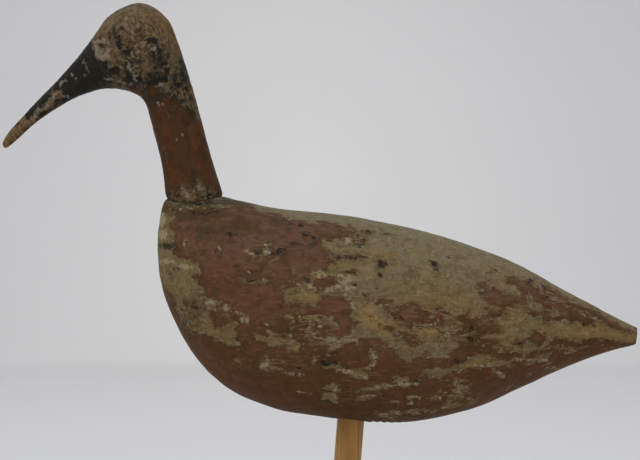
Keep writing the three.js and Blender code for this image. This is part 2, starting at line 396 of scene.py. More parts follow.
def streak_field(along, up, line, half):
    """Distance to the edge of a streak that is two times half wide."""
    nearest = np.full(along.shape, REACH)
    for a, b in zip(line[:-1], line[1:]):
        nearest = np.minimum(nearest, to_line(along, up, a, b))
    return half - nearest


def spot_field(along, up, spot):
    """Distance to the edge of an oval spot: its middle, half length and half height."""
    x, z, half_long, half_tall = spot
    return (1 - np.hypot((along - x) / half_long, (up - z) / half_tall)) * min(half_long, half_tall)


def coverage(along, up, patches=(), streaks=(), spots=""):
    """All of these marks together: the distance to the nearest edge of any of them."""
    field = np.full(along.shape, -REACH)
    for outline in patches:
        field = np.maximum(field, patch_field(along, up, drawn(outline)))
    for line, half in streaks:
        field = np.maximum(field, streak_field(along, up, drawn(line), half))
    for spot in drawn(spots):
        field = np.maximum(field, spot_field(along, up, spot))
    return np.clip(field, -REACH, REACH)


trial = coverage(np.array([5.0, 0.0]), np.array([5.0, -9.0]), patches=["0,0 10,0 10,10 0,10"])
print(f"the middle of a 10 mm square is {trial[0]:.1f} mm inside it, and a far point reads {trial[1]:.1f}")

# %% [markdown]
# ### The body's near side
# Red-brown oil paint covered the whole body. These are the patches where bare wood shows, the islands of
# red that stayed inside them, and the small dark and pale flecks. The last row of dark spots, under the neck's
# foot, is a painted shadow of the seam.

# %% Marks on the near side of the body
NEAR_WORN = [
    "-3,102 5,101 7,98 7,91 8.5,86 8,79 13,76.5 18,74.5 20,71 17,68 19,66 23,63 22,60 27,58 30,56.5 28,53.5"
    " 26,51 26.5,47 30,45.5 34,47 38,48 38.5,44 37.5,41 39,36.5 34,36.5 28,39.5 21,42.6 15.5,43.5 12,46.5"
    " 9.3,52 8.6,58 5,63 -3,65",
    "4,103 6,100.5 10,99.5 15,99.5 22,100.5 30,100 35,100.5 38,102 40,104 60,120 4,120",
    "44,106 46,100 49,97.5 55,96.8 60,95.3 65,94.8 70,94 76,93.3 83,92.8 89,91 92,112 44,120",
    "88,92 92,89 88,86.5 81,85.3 72,86 72,85 77,82.5 80,80 79,77 80.5,74 79,71.5 72,70.5 69,68 68,65 63,64"
    " 60,62.5 60,58 66,56 73,55.5 76,59 79,60.5 87,60.5 88.5,57 90,53 92,49 94,46 89,44.6 92,43 90,41.5 83,41"
    " 83,39.5 92,39.7 104,40.2 105.5,38 106,36.5 109,35 112,34.5 112.5,32 115,30.5 120,31.5 125,33 131,32.2"
    " 134.5,32.5 137,35.5 140,38 143,40 145,37 150,36 156,34.5 163,33.8 171,33 178,34 182,35.5 187,36.5"
    " 196,36.5 205,35.5 212,35.5 217,35.5 222,36.5 226,37 230,60 226,104 88,120",
    "67,51.5 72,51.5 75,50 80,51 83.5,47 83,44.5 81,44 80,46 77,48.5 73,47 74,44 71,41 68,41.5 68.5,45 70,48",
    "45,43 50,42.5 53,45 55,44 56,42 60,40.5 66,38 66,35 62,36.5 57,38 53,36 52,39 47,38.5 46,40",
    "66,40 74,39.2 83,40.5 90,40.5 92,39.7 84,39 80,36 83,34.8 85,35.5 84,37.5 90,37.5 84,38.2 76,38 68,39",
    "121,23 125,22 131,22 134,24 140,26 147,26 152,28 155,27 165,28 165,31 159,31.5 155,30.5 154,33 148,33"
    " 143,30.5 138,27.5 131,26 128,28 125,27",
    "46,30 49,30 50.5,31.5 52,33.5 54,33 53.5,30 53,28.5 57,27.5 55.5,25.2 50,25.5 47.5,28",
    "72,30 73,33 76,33.5 77,32 83.5,33.2 83.5,31.5 76,31 75.5,28.5 83,28 84,27 74,27.3",
]
NEAR_WORN_STREAKS = [
    ("57,26 62,24.5 68,23.5", 0.9),
    ("38,31.5 42,29.5", 0.8),
    ("84,28 88,26 93,25.3 96,23.5", 1.1),
    ("97,26.5 99,29 100.5,31.5 99,34", 1.6),
    ("79.5,18.5 83.5,17.5", 1.5),
    ("79,14.5 83,12.5", 1.5),
    ("94,12.5 98,13.5 103,14.5", 1.0),
    ("95,16.5 99,18 104,18.8 110,19 121,20", 1.1),
    ("110,21 116,20.5", 0.8),
    ("103,5 108,5 114,5.3 121,6", 1.0),
    ("116,13.8 119.5,13.8", 0.8),
    ("116,11.5 118,11.5", 0.8),
    ("104,3.2 107,2.6", 0.8),
    ("109,2.4 111,2.2", 0.8),
    ("124,6 129,6", 0.9),
    ("127,13 131,13", 1.0),
    ("133,13.5 138,13.8", 0.9),
    ("137,17 143,17", 1.0),
    ("136.5,20.5 140.5,20.5", 1.0),
    ("130,19 132,19.3", 0.8),
    ("133,9 140,9", 0.9),
    ("155.5,25 158,24 160,22.5", 1.3),
    ("165,31.5 171,30.5 176,31 181,31", 0.9),
    ("170,28.7 176,29.5 181,30", 0.8),
    ("181,35 186,35.5 190,35 195,36", 0.9),
    ("188,33 195,34", 0.8),
]
NEAR_WORN_SPOTS = (
    "46,66.8,5,1 51.5,80,2.4,1.8 62,49.8,2.5,2.2 172.5,23.5,1.4,.6 183,26.5,1.5,.6 109.5,11.2,.8,.6"
    " 167,17,2.2,.6"
)
NEAR_KEPT = [
    "73,66 77,68.5 81,68.2 84.5,67 84,65.6 81,65 77,64.3 74,63.5",
    "147,66.5 150,66.3 153,64.5 156,63.5 158.5,61 161,59.8 166,59 171,58.3 171,55.5 166,55 161,55.3 157,55"
    " 154,56.5 150.5,59.5 149.5,62 148,64",
    "162.5,66 163.5,69.3 167,68 172,64.5 176,61.8 180,58.8 185,56.5 190,54 196,51.5 201,49.3 206,47.6"
    " 204,46.2 198,46.8 190,47.5 188,49.5 184,52.5 180,55 177,58 172,59.5 167,60.5 168.5,62.5 166,65",
    "144,48 148,48.5 153,47.5 158,46 158,44 152,43.5 150,41 147,42 144.5,44",
    "138,49 140,51 144,51.5 143.5,48 141,46.5",
    "151,50 155,52 161,53 160,50.5 157,49.5",
    "101,58 105,58.5 108,58.2 106,56 110,54 112,52 108,53 105,54.5 102,56",
    "109,50 113,51 112,54 116,56 118,54.5 121,53 124,51.5 128,52.5 130,55 132,53 133.5,50 131,47.5 127,46.5"
    " 123,47.5 120,45 116,44.5 113,46.5 117,48.5 113,49.5",
    "112,44 114,43 117,40 115,39.5 112.5,42",
    "115,38 119,40.5 124,38.5 123,36.5 118,36.5",
    "171,40 174,42.4 178,42.2 179,40 177,38.8 173,39",
    "181,36.5 184,39.5 190,40 196,38.5 202,40 207,38.5 214,38 221,37.5 217,35.8 205,36 195,37 187,36.8",
]
NEAR_KEPT_STREAKS = [
    ("178,63.2 184,60.6 189,57.6 195,54.6 202,51.4 210,47.6 218.5,43.4", 0.9),
    ("84,77.6 91,77.2 96,77.5", 0.4),
    ("89,70.8 92,71", 0.5),
    ("91,84.8 96,84.4", 0.5),
    ("94,88.6 99,87.8", 0.5),
    ("105,46 109,43.6 112,42", 0.5),
    ("170,54.5 175,52 180,49.5 188,49", 0.8),
    ("132,43.5 137,42.3 142,43", 0.6),
    ("131,40.8 136,40.6 141,41.5", 0.5),
    ("142,47 143,43 144.5,39", 1.2),
    ("147,39.5 152,38.8 158,38", 1.2),
    ("150,36.8 155,36.2", 0.8),
    ("166,37.5 170,38.5", 0.7),
]
NEAR_DARK_AND_SEAM_SHADOW = (
    "22,89,2.5,1 33.5,88.3,3,.7 35,86.8,1.5,.7 5,82.5,4,1.5 10,72.5,2.5,1 28.5,81,1,.8 30.5,80.5,.7,1.2"
    " 48,79.5,2.5,1.6 56,79,4,1.3 58,81.5,2,.8 52,83,1.2,1.8 49,71.5,1.2,1.5 44,67.5,2.5,.9 51.5,66.5,1.5,.7"
    " 38,73.5,1.6,.7 43.5,71,1,.7 64,84,1.7,1 72.5,86.8,.8,1 69,88,2,1 73,84,1.8,.7 62,93,1.5,.8 67,92,1.5,1"
    " 93,87.5,1.8,.8 96,85,1.8,.8 98,89.5,1,1.4 94,83,2.5,.9 86,77.5,4,.8 91,77.3,3.5,.7 81,78.5,2,.6"
    " 82.5,71.2,1.3,.7 89,70.8,1.8,.6 104,74,2.6,1.7 102.5,75.8,2,.8 103,69.3,1.5,1.3 106,88.2,2.3,.6"
    " 128.5,74.3,2.7,1.3 127.3,75.8,1.2,1 129.2,72,1,.8 135,77.7,.8,.6 156.3,71.2,1.2,.6 153.5,70,.8,.5"
    " 161.5,61.5,.7,.5 151.5,54.3,1.2,.8 173.5,66.5,1.5,.8 180,63.5,2,.8 180.5,58.8,1.2,.6 192.5,47.2,.8,.6"
    " 197.5,46.2,1,.5 176.5,49,.6,.6 170,49.8,1.2,.7 73,64.5,.8,1.2 70,67,1.2,1.4 84,63,1,.8 79.8,61.8,.8,.6"
    " 92,62.5,1,.7 96.5,60.5,1.8,.6 98.5,58,1.2,.6 91,65.2,1.4,.6 102.5,62.8,.8,.8 105,62.5,.8,.6"
    " 121,45,1.2,.8 122,47.5,1.2,1 126.5,52,2,.6 130.5,54.5,1.5,.7 111,50,2,.8 145,45,1,2 144.5,40.5,1.2,2.5"
    " 138,30,1.8,1.2 79.5,29,4,1.2 82,34,1.5,.9 79,11.5,1.5,1 66,26.5,1,.8 61.5,43.5,.8,1.5 162.5,40.2,1,.5"
    " 168,37.5,2,1 109.8,34.4,.7,.7 120.5,20.8,.7,.6 57.5,55.8,1.5,.6"
    # this row under the neck's foot is a painted shadow of the seam gap
    " 7,104,3,.7 12,103,3.5,.9 18,102.3,4.5,.9 25,102.6,4,.8 31,103.6,3,.6 20,97.6,5,.7 26,98.4,3,.6"
)
NEAR_DARK_STREAKS = [
    ("54,95.6 59,94.3 64.5,92.4", 0.5),
    ("56.5,94 61,92.4", 0.4),
]
NEAR_PALE = (
    "26,56.5,3.5,1.2 33,54.5,2.5,1.2 38,52.5,2,.6 41,49.5,2,1.4 42.5,51,1,.7 43,47.8,1,.6 51.5,47,1.8,.7"
    " 29.5,81.5,.7,1.2 13.5,84,.8,1.6 42,80,1.5,1 44,79.3,1,.8 51,83,.8,1 51.5,80,1.2,1.5 43,70,.8,1"
    " 45,68.5,1.2,.7 88.5,85,1.8,1.2 95,87,.7,1.6 75,69,1,1.5 78.5,69.5,1,1 71.5,65,1.2,1.8 88.5,67,2,.9"
    " 134,43,2,.5 134.5,42,1.2,.5 127.5,47,.8,1 123.5,47,1.5,.6 119,46,.8,1 121,62,.5,1 50,28,2.4,1.6"
    " 146,43,1.2,.5 51.5,31,.7,1.4 2,95,2.2,4 3,88,2.6,2.4 5,75.5,4.5,1.3 13,73,4,1.2 82.5,17,1.6,1"
    " 82,13.5,1.2,.8 138,19,.8,.7 133,15.5,1,.5 136,14,.8,.9 139,15.5,1.2,.5 142,13.5,1,.6 145,12,1.2,.5"
    " 131,13,.8,.8"
    " 158.5,24.2,1.6,.8 185,25.5,2,.7 150,27.5,3,.8 70,42.5,1.4,.6 63,42,1.5,.6 76,46,.9,.9 66,50.5,2,.7"
    " 11,99.8,1.6,.6 18,100.8,3,.4 28,100.8,3.5,.4 79,62.3,2.6,.8 84,64.4,2.4,1 88.6,62.6,1.8,1"
)
NEAR_PALE_STREAKS = [
    ("97.5,17 105,18.6 112,19.3 120.5,19.8", 0.6),
    ("94.5,13.8 102,13.7", 0.4),
    ("116,13.4 121.7,13.5", 0.5),
    ("110.4,5.5 120.7,5.9", 0.5),
    ("103.9,4.8 106.7,4.8", 0.5),
    ("116,10.4 119.8,10.4", 0.4),
    ("109,11.2 111.8,11.2", 0.4),
    ("132,8 137,8.2", 0.4),
    ("135.7,20 138,20.6 140.4,20", 0.5),
    ("58.4,24.9 63,24.2 68.3,23.5", 0.5),
    ("64,15.5 72,15", 0.4),
    ("166.6,30.8 173,30 180.7,29.6", 0.6),
    ("84,26 90,25.4 94,24.4 97.3,22.3", 0.6),
    ("98.5,27 100.8,29.5 101.2,32 99.8,33.6", 0.6),
    ("76,40.6 84,40.2 92.6,39.6", 0.4),
    ("73,70.4 77,71 80.5,70.2", 0.5),
    ("84,69.8 88,68.8 91,67.4", 0.6),
    ("72,63.6 77,62.9 83,63.2", 0.5),
    ("85,65.4 89,64.6 92,63", 0.7),
    ("87,61.4 89.5,58 91.5,54", 0.6),
]
print(f"{len(NEAR_WORN)} worn patches, {len(NEAR_KEPT)} islands, {len(drawn(NEAR_DARK_AND_SEAM_SHADOW))} dark flecks")

# %% [markdown]
# ### The body's far side
# The photograph shows one side. The other was painted by the same hand and worn in the same way, so it gets
# marks of the same kinds and sizes, and none of them are copies.

# %% Marks on the far side of the body
FAR_WORN = [
    "-3,104 6,102 10,96 12,88 9,80 14,74 22,70 25,63 20,58 16,50 10,52 6,60 -3,64",
    "4,103 6,100.5 15,99 24,100.5 33,99.5 40,104 60,120 4,120",
    "44,106 47,99.5 54,97 62,95.8 72,94.3 84,92.8 92,112 44,120",
    "84,120 84,92 80,84 86,79 83,72 76,68 80,60 90,57 96,49 104,45 112,40 122,38 130,41 141,39 152,41 160,37"
    " 175,36 190,38 205,36.5 226,37 230,60 226,110",
    "60,34 68,36 78,33 74,30 64,31",
    "96,27 108,29 120,26 112,24 100,24.5",
    "34,44 42,47 50,44 44,40 36,41",
    "54,62 60,65 66,61 61,58",
]
FAR_WORN_STREAKS = [
    ("70,22 82,20.5 90,21", 0.7),
    ("104,14 118,15.5 126,15", 0.8),
    ("132,25 146,27.5 160,28", 1.0),
    ("30,66 36,68 44,67", 0.9),
    ("170,31 182,33 190,33.5", 0.6),
    ("98,6 110,6.5", 0.6),
    ("60,46 68,47.5 76,46", 0.9),
]
FAR_KEPT = [
    "112,62 117,65.5 124,64 131,66 139,62.5 147,61.5 158,56 155,53.5 146,55 138,51.5 131,54 124,56.5 118,57",
    "150,72 157,73 163,69 171,66.5 180,63 189,58.5 197,54.5 206,50 214,45.5 211,43.5 203,46 193,49.5 184,51"
    " 177,56 168,58.5 162,63.5 155,66",
    "98,49 104,51.5 108,49.5 113,52.5 121,50 126,51.5 129,47.5 122,45 117,46.5 111,43.5 104,45",
    "138,44.5 146,47 153,45.5 161,47.5 165,44 158,42.5 151,40.5 143,41.5",
    "182,45 190,46.5 199,43.5 208,41.5 203,39.5 193,40.5 186,42",
]
FAR_KEPT_STREAKS = [
    ("168,48.5 174,47 181,47.5", 0.8),
    ("92,60 97,62 103,60.5", 0.9),
    ("126,71.5 133,72.5", 0.6),
    ("103,66 108,66.5", 0.7),
    ("141,49.5 147,50.5", 0.5),
    ("174,52 180,50.5 186,50", 0.6),
]
FAR_DARK = (
    "28,92,2.2,.9 40,84,2.6,1.1 19,80,1.8,1 46,74,1.4,1.4 58,78,3,1 35,66,1.6,.8 66,86,1.6,.9 74,74,1.3,.9"
    " 94,80,2.2,.9 112,78,1.8,.9 97,66,1.5,.8 132,70,1.8,.9 146,58,1.4,.8 121,47,1.6,.9 163,52,1.6,.7"
    " 178,47,1.2,.6 88,38,3,1 102,34,1.4,.8 52,52,1.5,.8 70,28,2,.8 140,33,1.6,.9 114,84,1.2,.7 86,88,1.5,.8"
)
FAR_PALE = (
    "24,60,2.6,1.1 40,52,2,1 47,82,1.5,1 80,66,1.6,.9 72,36,2.2,.8 108,43,1.8,.7 58,26,2.2,.6 150,36,2,.6"
)
print(f"{len(FAR_WORN)} worn patches and {len(FAR_KEPT)} islands on the far side")

# %% [markdown]
# ### The head and neck
# The neck keeps the body's red. The bill and the place before the eye were black, and black is left in crumbs
# all over the worn brown crown. A dark arc and a pale middle are what is left of the painted eye.

# %% Marks on the head
HEAD_BLACK = [
    "-31,184 -30.5,174 -28.5,171 -26,168.7 -24,169.5 -23.5,166 -24.5,162 -26,160 -22,159 -21,157 -24,148"
    " -45,143 -45.5,150 -43.5,153 -45,155.6 -48.5,156 -49.3,153.3 -51.3,150.4 -54.4,147.2 -57.4,144.8"
    " -60,142.4 -64,141.5 -68,148 -50,172",
]
HEAD_BLACK_STREAKS = [
    ("-42.5,152 -46,150 -49,148.2 -51.8,146.3 -54.4,144.2 -56.5,142.3", 0.8),
    ("-6.2,175.6 -4.8,177.2 -2.8,178 -.6,177.2", 1.1),
    ("1.2,175.2 2.2,172.7", 0.6),
    ("2.1,170.8 1.5,168.4", 0.6),
    ("-9.3,160.3 -5,159 1,158.6 4.2,159.8", 1.2),
    ("11,169 12.8,164.5 13.6,160", 0.8),
]
HEAD_BLACK_SPOTS = (
    "-19.8,164,3.3,2.2 -13.7,163,1.5,3 -13,160,2,1.2 -8,162.3,.7,1.2 -18,178,1.8,2.8 -20,182.5,.9,1.2"
    " -17.3,175.3,1.6,1.6 -13.8,172.6,2.2,1.8 -8,184.6,.6,1.4 -9.5,182,.7,1.8 -14.2,187.9,.6,.6 -16,184,1,1"
    " 12,162,2,4 10,157,2.6,2 7,151.5,.8,2 11.5,150,1.2,1 5,164,1.4,2.8 14,156,1.7,3 3,166.5,1.2,1.2"
    " -10,167,.8,1.4 -1,165,1.2,.8 24.3,106,1.2,1.3 28,107,.8,.8 -25.4,175.8,1.6,.9 -26.8,173.8,.6,1.2"
    " 8.5,160,1.4,2 15.5,151.5,1.2,2 9.5,153.5,1,1.4 -22,180.5,1,1.2 -3,162.5,1.5,.7"
)
HEAD_PALE = [
    "-31,178.6 -30.6,176 -28.8,171.4 -26,168.6 -23.4,170.4 -21.6,174.2 -23.2,175 -25,172.4 -27,173.2"
    " -28.2,176 -29.4,179"
]
HEAD_PALE_STREAKS = [
    ("-28.2,178 -26.4,177.8 -24.6,178.2 -23,176.4", 0.7),
    ("-46,154.8 -49.7,151.2 -52.9,148 -56.5,145 -59,142.9", 0.4),
    ("-24,160.5 -18,158.9 -11.3,158", 0.6),
    ("-12.7,167.7 -11.6,163 -9.3,159.9", 0.6),
    ("-46.2,156.8 -44.4,158.7 -42.8,160.6", 0.5),
]
HEAD_PALE_SPOTS = (
    "-14.2,187.9,1.3,1.2 -1,174.2,1.8,1.4 2,158,1.5,.9 -16.5,164,.5,1.4 -39.7,162.2,.8,.8 -38.2,160.5,.5,.5"
    " -33.5,162,.7,.5 -34,168.5,.5,1.2 -32.6,165.5,.4,1 -42.2,152.5,1,.4 -48,154.4,2,.7"
    " -6,184.5,.5,1 -10.5,186.5,.6,.5 14,106,1,1.1 12,109.3,.4,.7 16.8,107.8,.5,.5 19.4,109,.4,1.7"
    " 20,106.2,.6,.5 10,103.6,1.2,.5 15.6,104.2,.8,.4 22.6,105.6,.4,.9 12,134.5,.5,.6 9,131.5,.4,1"
    " 3,148.5,1,.6 .5,148.8,.5,1 -23,187,.8,.4 -1.5,168.2,1.2,.4 6,160.5,.6,.8 -14.5,185.2,1.1,1.1"
)
HEAD_RED = ["-8,156 -4,158 4,156 8,153 10,150 14,148 17,146 42,120 44,96 4,96 0,125 -4,146"]
HEAD_RED_STREAKS = [("-17,157.4 -9,155.2 -4,153", 1.3)]
HEAD_BARE_SPOTS = (
    "15,105.5,5,3.4 20.2,107.5,2.2,4.2 13,108.5,1.6,2.2 9.5,104,3.4,2 23.5,105,3.6,3 27,107.5,1.8,2"
    " 28,103.5,3,1.8 10,108,1.2,1.2"
)
BARE_TIP = ["-64,146 -60,141 -70,128 -86,120 -86,150"]
FIRM = 2.2  # the bill's black is a thick coat, so chance frays its edge less than it frays the crumbs
print(f"{len(drawn(HEAD_BLACK_SPOTS))} black crumbs and {len(drawn(HEAD_PALE_SPOTS))} pale ones on the head")

# %% [markdown]
# ### Soft zones
# Some changes have no edge: ochre where the ground coat shines through, grime where hands and dust have
# darkened the bird, and wrinkles where thick old coats shrank. Some grime zones are painted shade instead: a
# long band along the belly, which faces down, a dark line under the neck's foot, which is a painted shadow of
# the seam, and a line along the lower edge of the bill's tip. Each is a soft oval: its middle, half length,
# half height and strength.

# %% Ochre, grime and wrinkles
BODY_OCHRE = (
    "98,51,5,4.5,.8 103,46.5,5.5,4,.95 110,43.5,8,2.6,.9 124,43,10,1.8,.8 136,42.5,6,1.6,.8 141,57,8,4,.12"
    " 118,38,5,2.5,.8 71,59,5,2.5,.4 62,50,2.5,2,.6 200,42,14,4,.3 221.3,39.3,3,1.6,.9 112,80,16,4,.3"
    " 66,36,4,3,.6 90,37.5,6,1,.3 137,14,8,4,.8 76,36,6,2,.5"
)
# Of these, the zones at 92,6 54,20 96,12 and 150,17 darken the belly as painted shade, and those at 19,96.8
# 18,104.2 18,101.2 36,103 and 4,99 are a painted shadow under the neck's foot.
BODY_GRIME_AND_SHADE = (
    "36,92,26,7,.6 20,70,16,12,.1 60,76,12,6,.3 92,6,80,13,.5 54,20,36,9,.45 17,53,10,13,1.3 8,68,6,8,.8"
    " 80,32,12,7,.6 146,42,9,8,.75 150,17,30,9,.4 170,46,14,7,.6 96,12,16,8,.4 8,83,6,3,1 19,96.8,12,2.4,1.7"
    " 18,104.2,24,1.8,1.7 18,101.2,24,2.5,1.35 34,38,12,6,.5 120,48,16,7,.3 190,30,24,6,.3 60,44,10,8,.5"
    " 196,47,16,5,.5 36,103,9,3,1.6 205,54,14,4,.7 224,43,2,4,1.4 220,35.6,6,1.8,1.4 4,99,6,5,1.5"
    " 98,82,8,5,.7 86,86,8,5,.9 111,76,10,6,.75 196,39.5,12,3.2,.75"
)
BODY_WRINKLES = (
    "140,14,9,5,1.3 72,45,12,9,1 130,46,16,9,.9 66,66,8,6,.9 52,80,9,5,.8 95,18,10,6,.6 165,50,14,7,.6"
    " 30,54,10,5,.7 112,36,10,5,.7 92,84,8,8,.7 60,30,10,5,.4"
)
HEAD_OCHRE = (
    "0,186,6,3,.6 15,105,7,4,.5 -12,190,8,2.5,.5 -2,190,8,2,.5 10.5,154.6,2.6,2.4,.8 -72,130,14,9,1.1"
    " 3,181,5,4,.9"
)
HEAD_GRIME_AND_SHADE = (
    "14,168,7,14,1.4 -12,168,10,8,1.2 8,157,8,6,1.1 8,115,10,16,.1 -12,160,12,5,1.5 0,161,11,5,1.45"
    " 3,128,3.5,22,.2 17,141,4.5,12,.3 21,125,4.5,12,.2 25,111,4,8,.2 16,147,5,6,.9 -20,180,5,7,.8"
    " 1,170,9,7,1.4 -50,147,6,5,.9 -23,162,6,6,1.4 -1,151.5,7,4.5,.65"
    # the first three ovals on this line run along the lower edge of the bill's tip and are painted shade
    " -61.5,137,2.5,1.6,1.4 -65,134,2.5,1.6,1.4 -68.5,130.5,2.5,1.5,1.4 -66.5,140,2,1.5,1.3"
    " -70,136.5,2,1.6,1.3 -72.8,132,1.2,2.5,1.3"
)
HEAD_WRINKLES = "-8,176,16,15,1.3 -14,164,11,8,1.1 6,168,8,12,.8 8,152,8,6,.6 18,106,12,4,1.1 -52,149,6,5,.5"


def soft_zones(along, up, zones):
    """The strongest of these soft ovals at every point, 0 to 1."""
    zone = np.zeros(along.shape)
    for x, z, half_long, half_tall, strength in drawn(zones):
        falloff = ((along - x) / half_long) ** 2 + ((up - z) / half_tall) ** 2
        zone = np.maximum(zone, strength * np.exp(-falloff))
    return zone


print(f"{len(drawn(BODY_OCHRE))} ochre zones and {len(drawn(BODY_GRIME_AND_SHADE))} grime zones on the body")

# %% [markdown]
# ## Lay the marks on the mesh
# A mark is drawn flat, as on a photograph, and the side of the bird that it belongs to takes it up. Before it
# is read, every point is pushed a millimetre or so by a smooth noise, which turns a drawn edge into a worn
# one. The results are kept on the mesh as attributes, one number for each point, and the material reads them.

# %% Helpers for numbers on the points
def drift(places, size, seed, stretch=1.0):
    """Smooth random values of about -1 to 1 for places in millimetres. size is the way from bump to bump."""
    scaled = places / np.array([size * stretch, size, size]) + seed
    return 2 * np.array([noise.fractal(place, 0.9, 2.0, 3) for place in scaled])


def ramp(values, low, high):
    """0 below low, 1 above high, and smooth between."""
    share = np.clip((values - low) / (high - low), 0, 1)
    return share * share * (3 - 2 * share)


WIDE_BUMPS, FINE_BUMPS = 5.0, 1.6  # mm from bump to bump of the noises that push the marks


def moved_marks(places, seed, patch_push, spot_push):
    """Along and up for patches and for spots, after a wide and a fine noise have pushed them."""
    along, up = places[:, 0], places[:, 2]
    wide = [drift(places, WIDE_BUMPS, seed + more, 1.7) for more in (0, 31)]
    fine = [drift(places, FINE_BUMPS, seed + more, 1.5) for more in (57, 83)]
    patch_along = along + wide[0] * patch_push * 1.6 + fine[0] * 0.5
    patch_up = up + wide[1] * patch_push + fine[1] * 0.35
    return (patch_along, patch_up), (along + fine[0] * spot_push * 1.4, up + fine[1] * spot_push)


def keep_fields(piece, fields):
    """Stores each field, one number for each point of the piece, for its material to read."""
    for name, values in fields.items():
        made = piece.data.attributes.new(name, "FLOAT", "POINT")
        made.data.foreach_set("value", values.astype(np.float32))


print("a ramp at a quarter, a half and three quarters of its way:", ramp(np.arange(0.25, 1, 0.25), 0, 1))

# %% Fields on the body
NEAR_EDGE, FAR_EDGE = -4.0, 6.0  # mm across: the two sides' marks pass into each other between these
BODY_SEED = 11.0
ISLAND_SPREAD = 0.3  # mm: the islands were drawn by their dark middles, and their thin rims reach further
TAIL_CUT = 223.3  # mm: the cut end of the tail is bare wood
body_places = on_bird(points_of(body))
body_far_share = ramp(body_places[:, 1], NEAR_EDGE, FAR_EDGE)
big, small = moved_marks(body_places, BODY_SEED, 0.8, 0.4)


def both_sides(near, far):
    """A field of the near side that passes into one of the far side."""
    return near + (far - near) * body_far_share


near_islands = coverage(*big, NEAR_KEPT, NEAR_KEPT_STREAKS) + ISLAND_SPREAD
near_red = np.maximum(-coverage(*big, NEAR_WORN, NEAR_WORN_STREAKS, NEAR_WORN_SPOTS), near_islands)
far_red = np.maximum(-coverage(*big, FAR_WORN, FAR_WORN_STREAKS), coverage(*big, FAR_KEPT, FAR_KEPT_STREAKS))
near_dark_and_seam_shadow = coverage(*small, streaks=NEAR_DARK_STREAKS, spots=NEAR_DARK_AND_SEAM_SHADOW)
near_pale = coverage(*small, streaks=NEAR_PALE_STREAKS, spots=NEAR_PALE)
body_fields = {
    "red_coat": np.where(body_places[:, 0] > TAIL_CUT, -REACH, both_sides(near_red, far_red)),
    # on the near side this also carries the painted shadow under the neck's foot
    "black_coat": both_sides(near_dark_and_seam_shadow, coverage(*small, spots=FAR_DARK)),
    "pale_ground": both_sides(near_pale, coverage(*small, spots=FAR_PALE)),
    "ochre": soft_zones(*big, BODY_OCHRE),
    "grime": soft_zones(*big, BODY_GRIME_AND_SHADE),
    "wrinkles": soft_zones(*big, BODY_WRINKLES),
}
keep_fields(body, body_fields)
print(f"red paint is left on {np.mean(body_fields['red_coat'] > 0):.0%} of the body's points")

# %% Fields on the head
HEAD_SEED = 211.0
FAR_HEAD_SEED = 611.0  # the far side takes the same marks, but another noise pushes them further
head_places = on_bird(points_of(head))
near_head = moved_marks(head_places, HEAD_SEED, 0.5, 0.35)
far_head = moved_marks(head_places, FAR_HEAD_SEED, 1.4, 1.3)
head_far_share = ramp(head_places[:, 1], NEAR_EDGE / 2, FAR_EDGE / 2)
head_fields = {}
for (big, small), share in ((near_head, 1 - head_far_share), (far_head, head_far_share)):
    black = coverage(*big, HEAD_BLACK, HEAD_BLACK_STREAKS) * FIRM
    black = np.maximum(black, coverage(*small, spots=HEAD_BLACK_SPOTS))
    pale = coverage(*big, HEAD_PALE, HEAD_PALE_STREAKS)
    red = coverage(*big, HEAD_RED, HEAD_RED_STREAKS)
    side = {
        "red_coat": np.minimum(red, -coverage(*big, spots=HEAD_BARE_SPOTS)),
        "black_coat": np.minimum(black, -coverage(*big, BARE_TIP) * FIRM),
        "pale_ground": np.maximum(pale, coverage(*small, spots=HEAD_PALE_SPOTS)),
        "ochre": soft_zones(*big, HEAD_OCHRE),
        "grime": soft_zones(*big, HEAD_GRIME_AND_SHADE),
        "wrinkles": soft_zones(*big, HEAD_WRINKLES),
    }
    for name, values in side.items():
        head_fields[name] = head_fields.get(name, 0.0) + values * share
keep_fields(head, head_fields)
print(f"black paint is left on {np.mean(head_fields['black_coat'] > 0):.0%} of the head's points")

# %% [markdown]
# ## Relief
# Paint stands about 0.16 mm proud of the wood, a gouge sinks into it, and a spokeshave leaves long shallow
# waves. These are real forms, so they move the points of the mesh along its normals, and only what is finer
# than the mesh is left to the material's bump. Near the seam and the socket the relief fades away, so that
# the fit stays clean.

# %% Helpers that raise and sink the surface
PAINT_FILM = 0.16  # mm, as the three below
WAVES = 0.22
WAVE_LENGTH = 22.0
WOOD_GRAIN = 0.05


def push_out(piece, height):
    """Moves each point along its normal, by millimetres."""
    normals = np.zeros(len(piece.data.vertices) * 3, np.float32)
    piece.data.vertex_normals.foreach_get("vector", normals)
    moved = points_of(piece) + normals.reshape(-1, 3) * height[:, None] * MM
    piece.data.vertices.foreach_set("co", moved.astype(np.float32).ravel())
    piece.data.update()
    print(f"{piece.name}: relief from {height.min():.2f} to {height.max():.2f} mm")


def worn_surface(places, fields, grain_stretch, seed):
    """The height in millimetres that carving, paint and open grain give every point."""
    red, black = fields["red_coat"], fields["black_coat"]
    waves = drift(places, WAVE_LENGTH, seed, 1.6) * WAVES
    film = ramp(red, -0.3, 0.35) * PAINT_FILM
    crumbs = ramp(black, -0.2, 0.4) * PAINT_FILM * 0.6
    grain = drift(places, 1.9, seed + 19, grain_stretch) * WOOD_GRAIN * (1 - 0.6 * ramp(red, -0.3, 0.3))
    return waves + film + crumbs + grain


def dents(places, marks):
    """Small holes and gouges: middle, half length, half height and depth of each."""
    height = np.zeros(len(places))
    for x, z, half_long, half_tall, depth in drawn(marks):
        reach = np.hypot((places[:, 0] - x) / half_long, (places[:, 2] - z) / half_tall)
        height -= depth * ramp(-reach, -1.0, -0.25)
    return height


SEAM_REACH = 6.0  # mm: further than this from the seam nothing is measured


